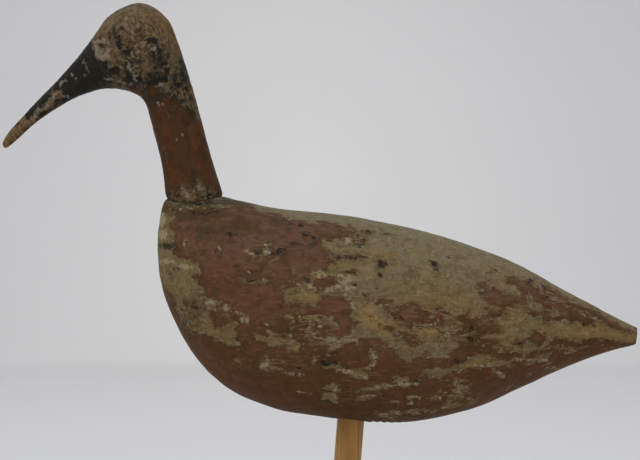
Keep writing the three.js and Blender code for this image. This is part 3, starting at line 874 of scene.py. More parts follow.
def way_to_seam(piece, other, close):
    """The way in millimetres from each of the piece's close points to the other carving."""
    tree = BVHTree.FromPolygons(points_of(other).tolist(), [list(p.vertices) for p in other.data.polygons])
    way = np.full(len(close), SEAM_REACH)
    for k in np.flatnonzero(close):
        found = tree.find_nearest(piece.data.vertices[k].co, SEAM_REACH * MM)[3]
        if found is not None:
            way[k] = found / MM
    return way


print(f"paint stands {PAINT_FILM} mm proud, and the waves are {WAVES} mm high")

# %% Relief of the body
NEAR_DENTS = (
    "79.5,29,4.5,1.5,.9 104,74,2,1.5,.7 128.5,74.3,2.2,1,.8 103,69.3,1.3,1.2,.4 5,82.5,4.5,1.7,.5"
    " 56,79,3.5,1.3,.3 48,79.5,2.2,1.6,.3 10,72.5,2.2,1,.4 22,89,2,1,.3 180,58.8,1.4,.8,.3"
    " 101,.6,1.6,1.1,.5 104,.4,1.5,1,.6 107.5,.5,1.7,1.1,.5 111,.7,1.5,1,.6 114.5,.9,1.6,1,.5"
)
BORE_TOP = 45.0  # mm up: the socket ends below this
BORE_WEAR = 0.6  # mm: how far the rim of the hole is rubbed down
NECK_BEHIND, NECK_BELOW = 46.0, 96.0  # mm along and up: the neck's foot is before the first, above the second
from_axis = np.cross(points_of(body) - dowel_foot, dowel_axis)
bore_distance = np.linalg.norm(from_axis, axis=1) / MM - DOWEL_RADIUS
near_bore = body_places[:, 2] < BORE_TOP
bore_fade = np.where(near_bore, ramp(bore_distance, 0.9, 3.0), 1.0)
worn_rim = np.where(near_bore & (bore_distance > 0), BORE_WEAR * (1 - ramp(bore_distance, 0.2, 1.6)), 0.0)
near_neck = (body_places[:, 2] > NECK_BELOW) & (body_places[:, 0] < NECK_BEHIND)
body_height = worn_surface(body_places, body_fields, 7.0, 3.0)
body_height += dents(body_places, NEAR_DENTS) * (1 - body_far_share)
body_height *= bore_fade * ramp(way_to_seam(body, head, near_neck), 0.4, 2.5)
push_out(body, body_height - worn_rim)

# %% Relief of the head, and the eased edge of its foot
SEAM_EASE = 0.35  # mm: how far the edge of the neck's foot is drawn in
NECK_TOP = 118.0  # mm up: above this the seam is further off than SEAM_REACH
BILL_TIP, BILL_ROOT = -75.0, -40.0  # mm along: the bill between them is too slim for the full relief
seam_distance = way_to_seam(head, body, head_places[:, 2] < NECK_TOP)
head_height = worn_surface(head_places, head_fields, 1.0, 71.0)
head_height *= ramp(seam_distance, 0.6, 2.5) * (0.35 + 0.65 * ramp(head_places[:, 0], BILL_TIP, BILL_ROOT))
push_out(head, head_height)
to_middle = in_frame(neck_seat[0], 0.0, neck_seat[1])[:2] - points_of(head)[:, :2]
way = np.linalg.norm(to_middle, axis=1)[:, None]
ease = SEAM_EASE * MM * (1 - ramp(seam_distance, 0.3, 1.4))[:, None]
eased = points_of(head)
eased[:, :2] += to_middle / np.maximum(way, 1e-6) * np.minimum(ease, way * 0.5)
head.data.vertices.foreach_set("co", eased.astype(np.float32).ravel())
SHARP_EDGE = math.radians(50)  # a bend of more than this stays an edge


def shade(piece):
    """Shades the piece smoothly, apart from its sharp edges."""
    piece.data.shade_smooth()
    piece.data.set_sharp_from_angle(angle=SHARP_EDGE)
    print(f"{piece.name}: {len(piece.data.polygons)} faces")


shade(body)
shade(head)

# %% [markdown]
# ## Colours and nodes
# A painter names a colour by its hex value, and Blender wants linear light, so one function turns the first
# into the second. Another adds one node with its settings and links, and every material below is made with
# it. What goes into a node is given by name, or in the order of its sockets where that is short and plain.
# A Map Range node, which turns a pattern into a share, takes the pattern, where the share starts and where it
# ends, and then the share at the start and at the end. Patterns are given in millimetres: a noise texture
# repeats about once in 1 / Scale metres.

# %% Colour and node helpers
def srgb(hex_colour):
    """A hex colour as linear light for a node."""
    parts = [int(hex_colour[k:k + 2], 16) / 255 for k in (1, 3, 5)]
    return [c / 12.92 if c <= 0.04045 else ((c + 0.055) / 1.055) ** 2.4 for c in parts] + [1.0]


def palette(hues):
    """The hex colours of a finish as linear light, by name."""
    return SimpleNamespace(**{name: srgb(value) for name, value in hues.items()})


def every(size):
    """The Scale of a pattern that repeats about every size millimetres."""
    return 1 / (size * MM)


def new_material(name):
    """A material with nodes, and its tree."""
    made = bpy.data.materials.new(name)
    made.use_nodes = True
    return made, made.node_tree


def finish_with(piece, material):
    """Gives the whole piece one material."""
    piece.data.materials.clear()
    piece.data.materials.append(material)


def feed(tree, node, inputs):
    """Puts values and other nodes' outputs into a node, by its sockets' names or in their order."""
    sockets = [socket for socket in node.inputs if socket.enabled]
    for key, value in inputs.items() if isinstance(inputs, dict) else enumerate(inputs):
        socket = sockets[key] if isinstance(key, int) else next(s for s in sockets if s.name == key)
        if isinstance(value, bpy.types.NodeSocket):
            tree.links.new(value, socket)
        else:
            socket.default_value = value


def add(tree, kind, inputs=(), out=0, **settings):
    """Adds one node with its settings and with what goes into it, and gives back one of its outputs."""
    made = tree.nodes.new("ShaderNode" + kind)
    for name, value in settings.items():
        setattr(made, name, value)
    feed(tree, made, inputs)
    if isinstance(out, str):
        return made.outputs[out]
    return [socket for socket in made.outputs if socket.enabled][out]


def coats(tree, ground, layers):
    """Lays coats over a ground colour, one after the other. Each has a mask, or the numbers of the Map Range
    that makes its mask, and a colour."""
    for mask, colour in layers:
        if isinstance(mask, tuple):
            mask = add(tree, "MapRange", mask)
        ground = add(tree, "Mix", (mask, ground, colour), data_type="RGBA")
    return ground


print("mid red as linear light:", [round(c, 3) for c in srgb("#6b4737")[:3]])

# %% [markdown]
# ## Worn oil paint on old pine
# Oil paint with red earth dries hard and slightly shiny, then chalks and wears to a dull skin with ragged
# edges. Under it a thin ochre ground and grey-brown pine with long grain come through. The material reads the
# six fields from the mesh and frays each edge with finer noise. Paint could also be drawn as pictures, but
# fields keep their sharp edges at any distance and from every side. Body and head were painted in the same
# way, so they share these steps: patterns, edges, bare wood, red paint, wrinkles, and then all of it.

# %% Patterns of the wood and the paint
FIELDS = ("red_coat", "black_coat", "pale_ground", "ochre", "grime", "wrinkles")
LONG_GRAIN = {"fibres": 0.07, "slivers": 0.2, "dashes": 0.4}  # the smaller, the longer along the grain
# What each noise lies on, millimetres from bump to bump, detail and roughness
NOISES = {
    "clouds": ("place", 24, 3.0, 0.5),
    "bands": ("fibres", 5, 2.0, 0.5),
    "mottle": ("place", 4.6, 3.0, 0.6),
    "patches": ("dashes", 2.4, 3.0, 0.6),
    "splinters": ("slivers", 1.0, 3.0, 0.6),
    "chips": ("turned", 1.9, 2.0, 0.5),
    "crumbs": ("place", 1.3, 2.0, 0.6),
    "grain": ("fibres", 1.4, 4.0, 0.6),
}


def patterns(tree, grain_lean):
    """The places, noises and fields that the coats are made from, by name. grain_lean turns the grain."""
    place = add(tree, "TexCoord", out="Object")
    turned = add(tree, "Mapping", {"Vector": place, "Rotation": (0, grain_lean, 0)})
    normal = add(tree, "NewGeometry", out="Normal")
    made = {"place": place, "turned": turned, "facing": add(tree, "SeparateXYZ", (normal,), out="Z")}
    for name, stretch in LONG_GRAIN.items():
        made[name] = add(tree, "Mapping", {"Vector": turned, "Scale": (stretch, 1, 1)})
    for name, (on, size, detail, roughness) in NOISES.items():
        made[name] = add(tree, "TexNoise", {
            "Vector": made[on], "Scale": every(size), "Detail": detail, "Roughness": roughness,
        })
    for name in FIELDS:
        made[name] = add(tree, "Attribute", out="Fac", attribute_name=name)
    return SimpleNamespace(**made)


print(f"{len(NOISES)} noises and {len(FIELDS)} fields")

# %% [markdown]
# ### Ragged edges
# Paint doesn't stop at a drawn line: it breaks off in crumbs, along splinters and by patches of its ground.
# So noises are added to each distance, with weights in millimetres. A noise has a mean of 0.5, and the frayed
# edge lies where the sum passes half of the weights. A pale rim of ground and a stain of soaked-in oil follow
# the same edge a little further out.

# %% Where each coat is left
RED_FRAYS = {"crumbs": 3.2, "patches": 5.0, "splinters": 5.8}  # mm
PALE_FRAYS = {"crumbs": 3.0, "chips": 2.6}
BLACK_CRUMBS = 2.6


def weighted(tree, *parts):
    """Adds up pairs of a node's output and its weight."""
    total = 0.0
    for value, weight in parts:
        total = add(tree, "Math", (value, weight, total), operation="MULTIPLY_ADD")
    return total


def frayed(tree, seen, field, frays):
    """A field with these noises added, and the value that its edge now has."""
    parts = [(getattr(seen, name), weight) for name, weight in frays.items()]
    return weighted(tree, (field, 1.0), *parts), sum(frays.values()) / 2


def coats_left(tree, seen, black_fray, black_shrink):
    """Shares of 0 to 1 for each coat and for what follows its edge. The black's edges are frayed by
    black_fray millimetres and worn back by black_shrink."""
    red, red_edge = frayed(tree, seen, seen.red_coat, RED_FRAYS)
    black, black_edge = frayed(tree, seen, seen.black_coat, {"chips": black_fray, "crumbs": BLACK_CRUMBS})
    black_edge += black_shrink
    pale, pale_edge = frayed(tree, seen, seen.pale_ground, PALE_FRAYS)
    spans = {
        "red": (red, red_edge - 0.4, red_edge + 0.4),
        "worn_thin": (red, red_edge + 2.0, red_edge + 0.3, 0, 0.7),
        "beside_red": (red, red_edge - 1.2, red_edge - 0.4),
        "soaked_in": (red, red_edge - 2.2, red_edge - 0.3, 0, 0.45),
        "black": (black, black_edge - 0.45, black_edge + 0.45, 0, 0.92),
        "pale": (pale, pale_edge - 0.1, pale_edge + 0.6, 0, 0.65),
    }
    return SimpleNamespace(**{name: add(tree, "MapRange", span) for name, span in spans.items()})


print(f"chance moves the red's edge by {sum(RED_FRAYS.values()) / 2:.0f} mm at most, and mostly by far less")

# %% [markdown]
# ### Bare pine
# Pine goes grey where rain and sun reach it, stays brown along the grain and is mottled with old dirt. Faces
# that look up are made greyer still: weathering, and painted light from above as well. Its year rings show
# faintly where the knife cut across them, as on the round of the crown. A tree's rings lie round its middle, so
# they are made in space round a line, and every face cuts them as a knife or saw would.

# %% The wood where the paint is gone
WAVE_TURNS = 20.0  # the Wave texture turns this many radians in one unit at Scale 1


def year_rings(tree, place, heart, ring, trunk, bend):
    """A tree's rings as every face of the piece cuts them. heart is a point on its middle line in metres,
    ring the width of a year's ring in millimetres, trunk the axis that it grew along and bend how crooked
    the rings are."""
    from_heart = add(tree, "Mapping", {"Vector": place, "Location": [-value for value in heart]})
    return add(tree, "TexWave", {
        "Vector": from_heart, "Scale": 2 * math.pi / WAVE_TURNS / (ring * MM), "Distortion": bend,
        "Detail": 3.0, "Detail Scale": 0.25, "Detail Roughness": 0.5,
    }, wave_type="RINGS", rings_direction=trunk, wave_profile="SAW", out="Fac")


def by_chance(tree, pattern, *chance):
    """A pattern that shows only here and there: chance is a second pattern and the rest of its Map Range."""
    return add(tree, "Math", (pattern, add(tree, "MapRange", chance)), operation="MULTIPLY")


def weathered_pine(tree, seen, left, hue, rings_of_tree, crumbling):
    """The colour of the bare wood."""
    rings = add(tree, "MapRange", (year_rings(tree, seen.place, *rings_of_tree), 0.6, 1.0))
    remains = weighted(tree, (seen.patches, 1.0), (seen.splinters, 0.25), (seen.red_coat, 0.08))
    return coats(tree, hue.pine_dark, [
        ((seen.grain, 0.3, 0.7), hue.pine),
        ((seen.bands, 0.5, 0.66, 0, 0.5), hue.pine_dark),
        ((seen.clouds, 0.42, 0.6, 0, 0.4), hue.pine_grey),
        # greyer on faces that look up: weathering together with painted light from above
        ((seen.facing, 0.35, 0.9, 0, 0.7), hue.pine_grey),
        # grime, and painted shade on the belly and under the neck's foot, darken the bare wood
        ((seen.grime, 0.45, 1.3, 0, 0.7), hue.soot),
        ((seen.mottle, 0.5, 0.66, 0, 0.5), hue.stain),
        ((seen.chips, 0.56, 0.68, 0, 0.5), hue.rim),
        (by_chance(tree, seen.ochre, seen.patches, 0.43, 0.59, 0.05, 1.0), hue.ochre),
        (by_chance(tree, rings, seen.clouds, 0.4, 0.56, 0.08, 0.2 + 0.35 * crumbling), hue.stain),
        ((seen.splinters, 0.46, 0.36, 0, 0.35), hue.stain),
        ((seen.crumbs, 0.4, 0.32, 0, 0.5), hue.stain),
        (left.soaked_in, hue.red_dark),
        ((remains, 0.59, 0.66, 0, 0.6), hue.red_dark),
        (by_chance(tree, left.beside_red, seen.mottle, 0.5, 0.6, 0, 0.6), hue.pale),
    ])


print(f"rings 3 mm wide need a Wave texture with a Scale of {2 * math.pi / WAVE_TURNS / (3 * MM):.0f}")

# %% [markdown]
# ### Red earth in oil
# The red is clouded, rubbed lighter in places, and thin and brown along its worn edges. On faces that look up
# it is paler and greyer, which is sun fading together with painted light from above, and on faces that look
# down it is darker, which is painted shade. Where a coat crumbles, as on the head, the grain shows through more
# and the single stains show less.

# %% The red coat
FADE_AND_TOP_LIGHT = (0.1, 0.5)  # how far a face looks up, from where the red begins to pale to where it is palest: sun fading and painted light from above
DOWN_FACING_SHADE = (0.1, -0.35)  # the same for the painted shade on faces that look down


def red_earth(tree, seen, left, hue, crumbling):
    """The colour of the red paint."""
    return coats(tree, hue.red, [
        ((seen.clouds, 0.38, 0.62), hue.red_rubbed),
        # sun fading and painted light from above: the red is paler and greyer on faces that look up
        ((seen.facing, *FADE_AND_TOP_LIGHT, 0, 0.75), hue.red_faded),
        # painted shade: the red is darker on faces that look down
        ((seen.facing, *DOWN_FACING_SHADE, 0, 0.45), hue.red_deep),
        ((seen.bands, 0.48, 0.62, 0, 0.15 + 0.5 * crumbling), hue.red_dark),
        ((seen.patches, 0.5, 0.66, 0, 0.7 - 0.4 * crumbling), hue.red_dark),
        (left.worn_thin, hue.red_dark),
        ((seen.mottle, 0.53, 0.66, 0, 0.5 - 0.3 * crumbling), hue.grime),
        ((seen.splinters, 0.45, 0.35, 0, 0.3), hue.red_dark),
        ((seen.splinters, 0.58, 0.7, 0, 0.25 - 0.15 * crumbling), hue.rim),
    ])


print(f"red that leans {math.degrees(math.asin(FADE_AND_TOP_LIGHT[1])):.0f} degrees or more to the sky has faded most")

# %% [markdown]
# ### Wrinkles
# Thick old coats shrank and wrinkled. A bent noise passes its own middle along crooked loops: those lines are
# the dark creases, and the places where the noise is a little higher are the pale crests beside them.

# %% Creases and crests
CREASE = (0.045, 0.012)  # how far the noise is from its middle, at a crease's edge and where it is darkest
CREST = (0.56, 0.64)  # the noise at a crest's edge and where it is palest


def wrinkled(tree, seen, crumbling, swirl_size):
    """Shares of 0 to 1 for creases and for crests that lie about swirl_size millimetres apart."""
    loops = add(tree, "Mapping", {"Vector": seen.turned, "Scale": (0.35 + 0.65 * crumbling, 1, 1)})
    swirl = add(tree, "TexNoise", {
        "Vector": loops, "Scale": every(swirl_size), "Detail": 3.0, "Roughness": 0.5, "Distortion": 1.8,
    })
    off_line = add(tree, "Math", (swirl, 0.5), operation="SUBTRACT")
    off_line = add(tree, "Math", (off_line,), operation="ABSOLUTE")
    return [
        add(tree, "Math", (add(tree, "MapRange", span), seen.wrinkles), operation="MULTIPLY", use_clamp=True)
        for span in ((off_line, *CREASE, 0, 0.75), (swirl, *CREST, 0, 0.75))
    ]


print(f"creases lie within {CREASE[0]} of the noise's middle, and crests above {CREST[0]}")

# %% [markdown]
# ### All of it
# Grime lies in patches over wood and paint; along the belly, under the neck's foot and along the lower edge of
# the bill's tip the same field is painted shade. Crumbs of black and of pale ground lie where no mark draws
# them. Chalky wood is duller than paint, and the black paint is the smoothest. Chalked paint has lost nearly
# all of its gloss, so its specular level is far below the usual 0.5.

# %% The material for painted wood
LINSEED_IOR = 1.48
CHALKED_GLOSS = 0.1


def old_oil_paint(name, hues, rings_of_tree, grain_lean, crumbling, swirl_size, black_fray, black_shrink):
    """Worn oil paint on pine. hues are hex colours, rings_of_tree is what year_rings needs after the place,
    and crumbling says how much of the surface is loose crumbs, from 0 to 1."""
    material, tree = new_material(name)
    hue = palette(hues)
    seen = patterns(tree, grain_lean)
    left = coats_left(tree, seen, black_fray, black_shrink)
    wood = weathered_pine(tree, seen, left, hue, rings_of_tree, crumbling)
    paint = red_earth(tree, seen, left, hue, crumbling)
    chalked_black = coats(tree, hue.black, [((seen.mottle, 0.5, 0.62, 0, 0.5), hue.soot)])
    creases, crests = wrinkled(tree, seen, crumbling, swirl_size)
    # grime and painted shade, broken up by the mottle and the patches
    grime_and_shade_share = weighted(tree, (seen.grime, 1.0), (seen.mottle, 1.8), (seen.patches, 0.9), (left.red, 0.8))
    bare_chips = weighted(tree, (seen.chips, 1.0), (left.red, -0.1))
    loose = weighted(tree, (seen.crumbs, 1.0), (seen.patches, 0.8), (seen.grime, 0.1), (left.red, -0.1))
    loose_edge = 1.17 - 0.05 * crumbling
    colour = coats(tree, wood, [
        (left.red, paint),
        ((grime_and_shade_share, 2.25, 2.8, 0, 0.85), hue.grime),
        ((bare_chips, 0.58, 0.66, 0, 0.15 + 0.35 * crumbling), hue.rim),
        ((loose, loose_edge, loose_edge + 0.08, 0, 0.7), hue.black),
        (left.black, chalked_black),
        (crests, hue.rim),
        (creases, hue.stain),
        (left.pale, hue.pale),
    ])
    dull = add(tree, "MapRange", (left.red, 0, 1, 0.84, 0.68))
    rough = add(tree, "MapRange", (left.black, 0, 1, dull, 0.55))
    film = weighted(
        tree, (left.red, 0.12), (left.black, 0.07), (seen.grain, 0.14), (seen.crumbs, 0.12), (seen.chips, 0.1)
    )
    bump = add(tree, "Bump", {"Height": film, "Distance": MM, "Strength": 0.8})
    feed(tree, tree.nodes["Principled BSDF"], {
        "Base Color": colour, "Roughness": rough, "Normal": bump, "IOR": LINSEED_IOR,
        "Specular IOR Level": CHALKED_GLOSS,
    })
    print(f"{name}: {len(tree.nodes)} nodes")
    return material


print(f"an IOR of {LINSEED_IOR} and a specular level of {CHALKED_GLOSS}")

# %% The finishes of body and head
# red_deep is painted shade for faces that look down, red_faded is sun fading with painted light for faces that
# look up, and grime holds grime and painted shade
BODY_HUES = {
    "pine": "#87724a", "pine_dark": "#6b5937", "pine_grey": "#76715b", "stain": "#543f24", "ochre": "#a07c42",
    "rim": "#8f7b58", "red": "#613e24", "red_rubbed": "#6a4834", "red_dark": "#4e331d", "grime": "#49351b",
    "black": "#231a0f", "pale": "#9c9070", "soot": "#4d4a39", "red_deep": "#512f18", "red_faded": "#64493a",
}
HEAD_HUES = {
    "pine": "#806747", "pine_dark": "#55442b", "pine_grey": "#766850", "stain": "#2a2316", "ochre": "#815f2e",
    "rim": "#7a6650", "red": "#4f2c14", "red_rubbed": "#56331b", "red_dark": "#42301a", "grime": "#2d261a",
    "black": "#10120e", "pale": "#877f6e", "soot": "#2e2c24", "red_deep": "#482811", "red_faded": "#4e301c",
}
BODY_SWIRLS, HEAD_SWIRLS = 2.8, 4.2  # mm: the head was painted more often, so its coats shrank more
NECK_GRAIN = math.radians(-77)  # the head's plank was laid with its grain up the neck
# The tree that each was cut from: a point on its middle line, the width of a ring, its trunk's axis, its bend
BODY_TREE = (in_frame(0.0, 30.0, 10.0), 3.4, "X", 4.0)
HEAD_TREE = (in_frame(-9.0, 0.0, 174.0), 2.6, "Y", 7.0)  # its rings curve with the crown
finish_with(body, old_oil_paint(
    "worn_red_oil_paint_on_pine", BODY_HUES, BODY_TREE, grain_lean=0.0, crumbling=0.15,
    swirl_size=BODY_SWIRLS, black_fray=2.6, black_shrink=0.1,
))
finish_with(head, old_oil_paint(
    "worn_black_and_red_oil_paint_on_pine", HEAD_HUES, HEAD_TREE, grain_lean=NECK_GRAIN, crumbling=1.0,
    swirl_size=HEAD_SWIRLS, black_fray=4.6, black_shrink=0.1,
))

# %% [markdown]
# ## The dowel
# The stick is a bought birch dowel, yellowed with age and left bare. Turned dowels are not quite round and
# have fine ridges along the grain, so the bar is made as rings of points that are pushed in and out a little.
# It starts in its socket in the block and ends in the socket in the belly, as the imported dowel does.

# %% Make the dowel
DOWEL_RINGS, DOWEL_SIDES = 170, 128
END_EASE = 0.6  # mm: how far the edges of its ends are rounded
OUT_OF_ROUND = 0.03  # mm
RIDGES = 0.035
dowel_length = np.linalg.norm(dowel_top - dowel_foot)
side_way = np.cross(dowel_axis, [0.0, 1.0, 0.0])
side_way /= np.linalg.norm(side_way)
front_way = np.cross(dowel_axis, side_way)
turn = ring_angles(DOWEL_SIDES)
spoke = np.cos(turn)[:, None] * side_way + np.sin(turn)[:, None] * front_way
run = np.linspace(0, dowel_length, DOWEL_RINGS)
ring_middles = dowel_foot + run[:, None] * dowel_axis
from_end = np.minimum(run, dowel_length - run) / MM
ring_radius = DOWEL_RADIUS - END_EASE * (1 - ramp(from_end, 0.0, 1.2)) - OUT_OF_ROUND
even_places = (ring_middles[:, None, :] + spoke[None] * DOWEL_RADIUS * MM).reshape(-1, 3) / MM
uneven = drift(even_places[:, [2, 0, 1]], 1.3, 5.0, 22.0) * RIDGES
uneven += drift(even_places, 30.0, 9.0) * OUT_OF_ROUND
radius = (ring_radius[:, None] + uneven.reshape(DOWEL_RINGS, DOWEL_SIDES)) * MM
rows = (ring_middles[:, None, :] + spoke[None] * radius[..., None]).reshape(-1, 3)
dowel = new_object("bare_dowel", *closed_tube(dowel_foot, rows, dowel_top, DOWEL_SIDES))
shade(dowel)
print(f"the dowel is {dowel_length / MM:.1f} mm long")

# %% [markdown]
# ## The stand's block
# The photograph cuts the stick off, so its foot is finished in keeping: an offcut of board, plain, with eased
# edges, and bored for the dowel. A fine grid over a box is rounded in two steps: first its four corners as
# seen from above, then the upper and lower edges. Each step maps a square corner onto a quarter circle. A
# bevel would round it too, but it would leave large flat faces with no points for the wear.

# %% A square block of small cells
BLOCK_STEP = 0.95  # mm between points
block_low, block_high = (np.array(corner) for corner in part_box("stand_block"))
block_middle, block_half = (block_low + block_high) / 2, (block_high - block_low) / 2


def box_grid(half, step):
    """Points and faces of a box round zero with square cells of about step, every point made once."""
    shape = bmesh.new()
    counts = [max(2, round(2 * h / step)) for h in half]
    index = {}
    ends = [np.linspace(-h, h, n + 1) for h, n in zip(half, counts)]

    def corner(cell):
        if cell not in index:
            index[cell] = shape.verts.new([ends[axis][cell[axis]] for axis in range(3)])
        return index[cell]

    for axis in range(3):
        u, v = (axis + 1) % 3, (axis + 2) % 3
        for level in (0, counts[axis]):
            for i in range(counts[u]):
                for j in range(counts[v]):
                    loop = []
                    for di, dj in ((0, 0), (1, 0), (1, 1), (0, 1)):
                        cell = [0, 0, 0]
                        cell[axis], cell[u], cell[v] = level, i + di, j + dj
                        loop.append(corner(tuple(cell)))
                    shape.faces.new(loop if level else loop[::-1])
    shape.verts.index_update()
    points = np.array([v.co for v in shape.verts])
    faces = [[v.index for v in face.verts] for face in shape.faces]
    shape.free()
    return points, faces


cells, block_faces = box_grid(block_half, BLOCK_STEP * MM)
print(f"the block has {len(cells)} points")

# %% Round its corners and edges
CORNER_RADIUS, EDGE_RADIUS = 4.0 * MM, 1.5 * MM
TINY = 1e-12


def quarter_round(a, b):
    """Maps a square corner onto a quarter circle: a and b are how far a point is past the flat parts."""
    a, b = np.maximum(a, 0), np.maximum(b, 0)
    share = np.maximum(a, b) / np.maximum(np.hypot(a, b), TINY)
    return a * share, b * share


sign = np.where(cells >= 0, 1.0, -1.0)
flat = block_half[:2] - CORNER_RADIUS
out_x, out_y = np.abs(cells[:, :2]).T
past_x, past_y = quarter_round(out_x - flat[0], out_y - flat[1])
cells[:, 0] = sign[:, 0] * (np.minimum(out_x, flat[0]) + past_x)
cells[:, 1] = sign[:, 1] * (np.minimum(out_y, flat[1]) + past_y)
over = np.maximum(np.abs(cells[:, :2]) - flat, 0)
to_side = np.hypot(over[:, 0], over[:, 1])
in_corner = (over[:, 0] > 0) & (over[:, 1] > 0)
in_x, in_y = (block_half[:2] - np.abs(cells[:, :2])).T
inward = np.where(in_corner, CORNER_RADIUS - to_side, np.minimum(in_x, in_y))
side_past = EDGE_RADIUS - inward
up_past = np.abs(cells[:, 2]) - (block_half[2] - EDGE_RADIUS)
round_side, round_up = quarter_round(side_past, up_past)
outward = np.zeros((len(cells), 2))
outward[in_corner] = over[in_corner] / np.maximum(to_side[in_corner], TINY)[:, None]
by_x = ~in_corner & (in_x < in_y)
outward[by_x, 0] = 1.0
outward[~in_corner & ~by_x, 1] = 1.0
near_edge = (side_past > 0) & (up_past > 0)
step_in = np.where(near_edge, side_past - round_side, 0.0)
step_down = np.where(near_edge, up_past - round_up, 0.0)
cells[:, :2] -= sign[:, :2] * outward * step_in[:, None]
cells[:, 2] -= sign[:, 2] * step_down
block = new_object("stand_board", cells + block_middle, block_faces)
print(f"the deepest cell of an edge moved {np.max(step_in) / MM:.2f} mm inward")

# %% Wear and bore the block
SAW_MARKS, KNOCKS, EDGE_WEAR = 0.05, 0.175, 0.4  # mm deep
BLOCK_DRILL_END = 40.0  # mm above the dowel's foot, in the air over the block
block_places = points_of(block) / MM
above_foot = ramp(block_places[:, 2], 1.0, 4.0)  # the underside stays flat, so that the block stands firm
saw_marks = drift(block_places, 2.2, 17.0, 30.0) * SAW_MARKS
knocks = ramp(drift(block_places, 9.0, 23.0), 0.55, 1.1) * KNOCKS
edge_chance = ramp(drift(block_places, 14.0, 29.0), -0.2, 0.9)
edge_wear = ramp(-np.abs(inward / MM), -4.0, 0.0) * edge_chance * EDGE_WEAR
push_out(block, -(np.abs(saw_marks) + knocks + edge_wear) * above_foot)
drill_start = dowel_foot - dowel_axis * DRILL_PLAY * MM
drill_end = dowel_foot + dowel_axis * BLOCK_DRILL_END * MM
cut_away(block, round_bar("block_drill", drill_start, drill_end, drill_radius))
shade(block)

# %% [markdown]
# ## Bare wood
# Birch and pine differ in the width of their rings and in how dark the late wood is. The rings are made as
# the bird's are, round a line outside the piece, so every face cuts them as a saw would: long lines along the
# board, arcs on its ends. Fine fibres and a little dirt come on top.

# %% The material for bare wood
WOOD_IOR = 1.45


def bare_wood(name, hues, ring, heart, grain_axis, roughness):
    """Unpainted wood. ring is the width of a year's ring and heart a point on the tree's middle line, both in
    millimetres, and grain_axis is X or Z."""
    material, tree = new_material(name)
    hue = palette(hues)
    place = add(tree, "TexCoord", out="Object")
    stretch = (0.04, 1, 1) if grain_axis == "X" else (1, 1, 0.04)
    along_grain = add(tree, "Mapping", {"Vector": place, "Scale": stretch})
    rings = year_rings(tree, place, np.array(heart) * MM, ring, grain_axis, 5.0)
    fibres = add(tree, "TexNoise", {
        "Vector": along_grain, "Scale": every(0.9), "Detail": 5.0, "Roughness": 0.65,
    })
    bands = add(tree, "TexNoise", {"Vector": along_grain, "Scale": every(5), "Detail": 2.0})
    dirt = add(tree, "TexNoise", {"Vector": place, "Scale": every(14), "Detail": 4.0, "Roughness": 0.6})
    colour = coats(tree, hue.early, [
        ((rings, 0.45, 1.0, 0, 0.75), hue.late),
        ((fibres, 0.38, 0.64, 0, 0.8), hue.fibre),
        ((bands, 0.4, 0.65, 0, 0.7), hue.band),
        ((dirt, 0.48, 0.72, 0, 0.6), hue.dirt),
    ])
    rough = add(tree, "MapRange", (dirt, 0, 1, roughness - 0.08, roughness + 0.12))
    height = weighted(tree, (fibres, 0.14), (rings, 0.05))
    bump = add(tree, "Bump", {"Height": height, "Distance": MM, "Strength": 0.7})
    feed(tree, tree.nodes["Principled BSDF"], {
        "Base Color": colour, "Roughness": rough, "Normal": bump, "IOR": WOOD_IOR,
    })
    print(f"{name}: {len(tree.nodes)} nodes")
    return material


BIRCH = {"early": "#bf9049", "late": "#96692e", "fibre": "#7e5623", "band": "#a3722d", "dirt": "#63431b"}
STAINED_PINE = {
    "early": "#6f4f33", "late": "#4c3320", "fibre": "#5c402a", "band": "#644630", "dirt": "#423023",
}
finish_with(dowel, bare_wood("bare_birch", BIRCH, 1.6, (8, 24, 0), "Z", 0.55))
finish_with(block, bare_wood("stained_pine_board", STAINED_PINE, 2.6, (0, 22, -46), "X", 0.6))

# %% [markdown]
# ## Put the pieces on the frame
# Each fine piece stands for one imported node, which it hides, and rides on the one body there is. Each piece
# has its own material, so the bird and its stand are finished apart.

# %% Pieces, nodes and slots
for piece, node_name, slot_name in (
    (body, "decoy_body", "painted_body"),
    (head, "head_neck_and_bill", "painted_head"),
    (dowel, "dowel", "dowel_wood"),
    (block, "stand_block", "block_wood"),
):
    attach(piece, "root")
    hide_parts(node_name)
    print(f"{piece.name} stands for {node_name}")

# %% [markdown]
# ## A pale studio
# The photograph has a plain pale wall and soft light from above. A round floor that bends up into a wall has
# no edge to see from any side, and the world gives even light from all round. One large soft lamp above gives
# the back its light and leaves the belly darker. The wall behind the bird has a painted pool of light: it is
# palest in its middle and its colour darkens away from there. A lamp could make that pool too, but it would
# shine on the bird as well, so the pool is painted into the paper's colour instead. The floor is painted darker
# than the wall, a painted shade that evens out the light it gets from above.

# %% Floor and wall
FLOOR_RINGS = [0.4, 1.2, 2.2]  # metres, as the three below
FLOOR_RADIUS = 3.3
BEND_RADIUS = 1.2
WALL_TOP = 2.2
FLOOR_DROP = 0.0002  # the floor lies a hair under the block, so that the two faces don't flicker
STAGE_SIDES = 128
bend = np.linspace(0, math.pi / 2, 24)
wall_radius = FLOOR_RADIUS + BEND_RADIUS
profile_radius = np.concatenate([FLOOR_RINGS, FLOOR_RADIUS + BEND_RADIUS * np.sin(bend), [wall_radius]])
profile_height = np.concatenate([[0.0] * len(FLOOR_RINGS), BEND_RADIUS * (1 - np.cos(bend)), [WALL_TOP]])
stage_turn = ring_angles(STAGE_SIDES)
stage_rows = np.stack([
    np.outer(profile_radius, np.cos(stage_turn)),
    np.outer(profile_radius, np.sin(stage_turn)),
    np.repeat(profile_height[:, None] - FLOOR_DROP, STAGE_SIDES, axis=1),
], axis=-1).reshape(-1, 3)
stage_points = np.vstack([[0, 0, -FLOOR_DROP], stage_rows])
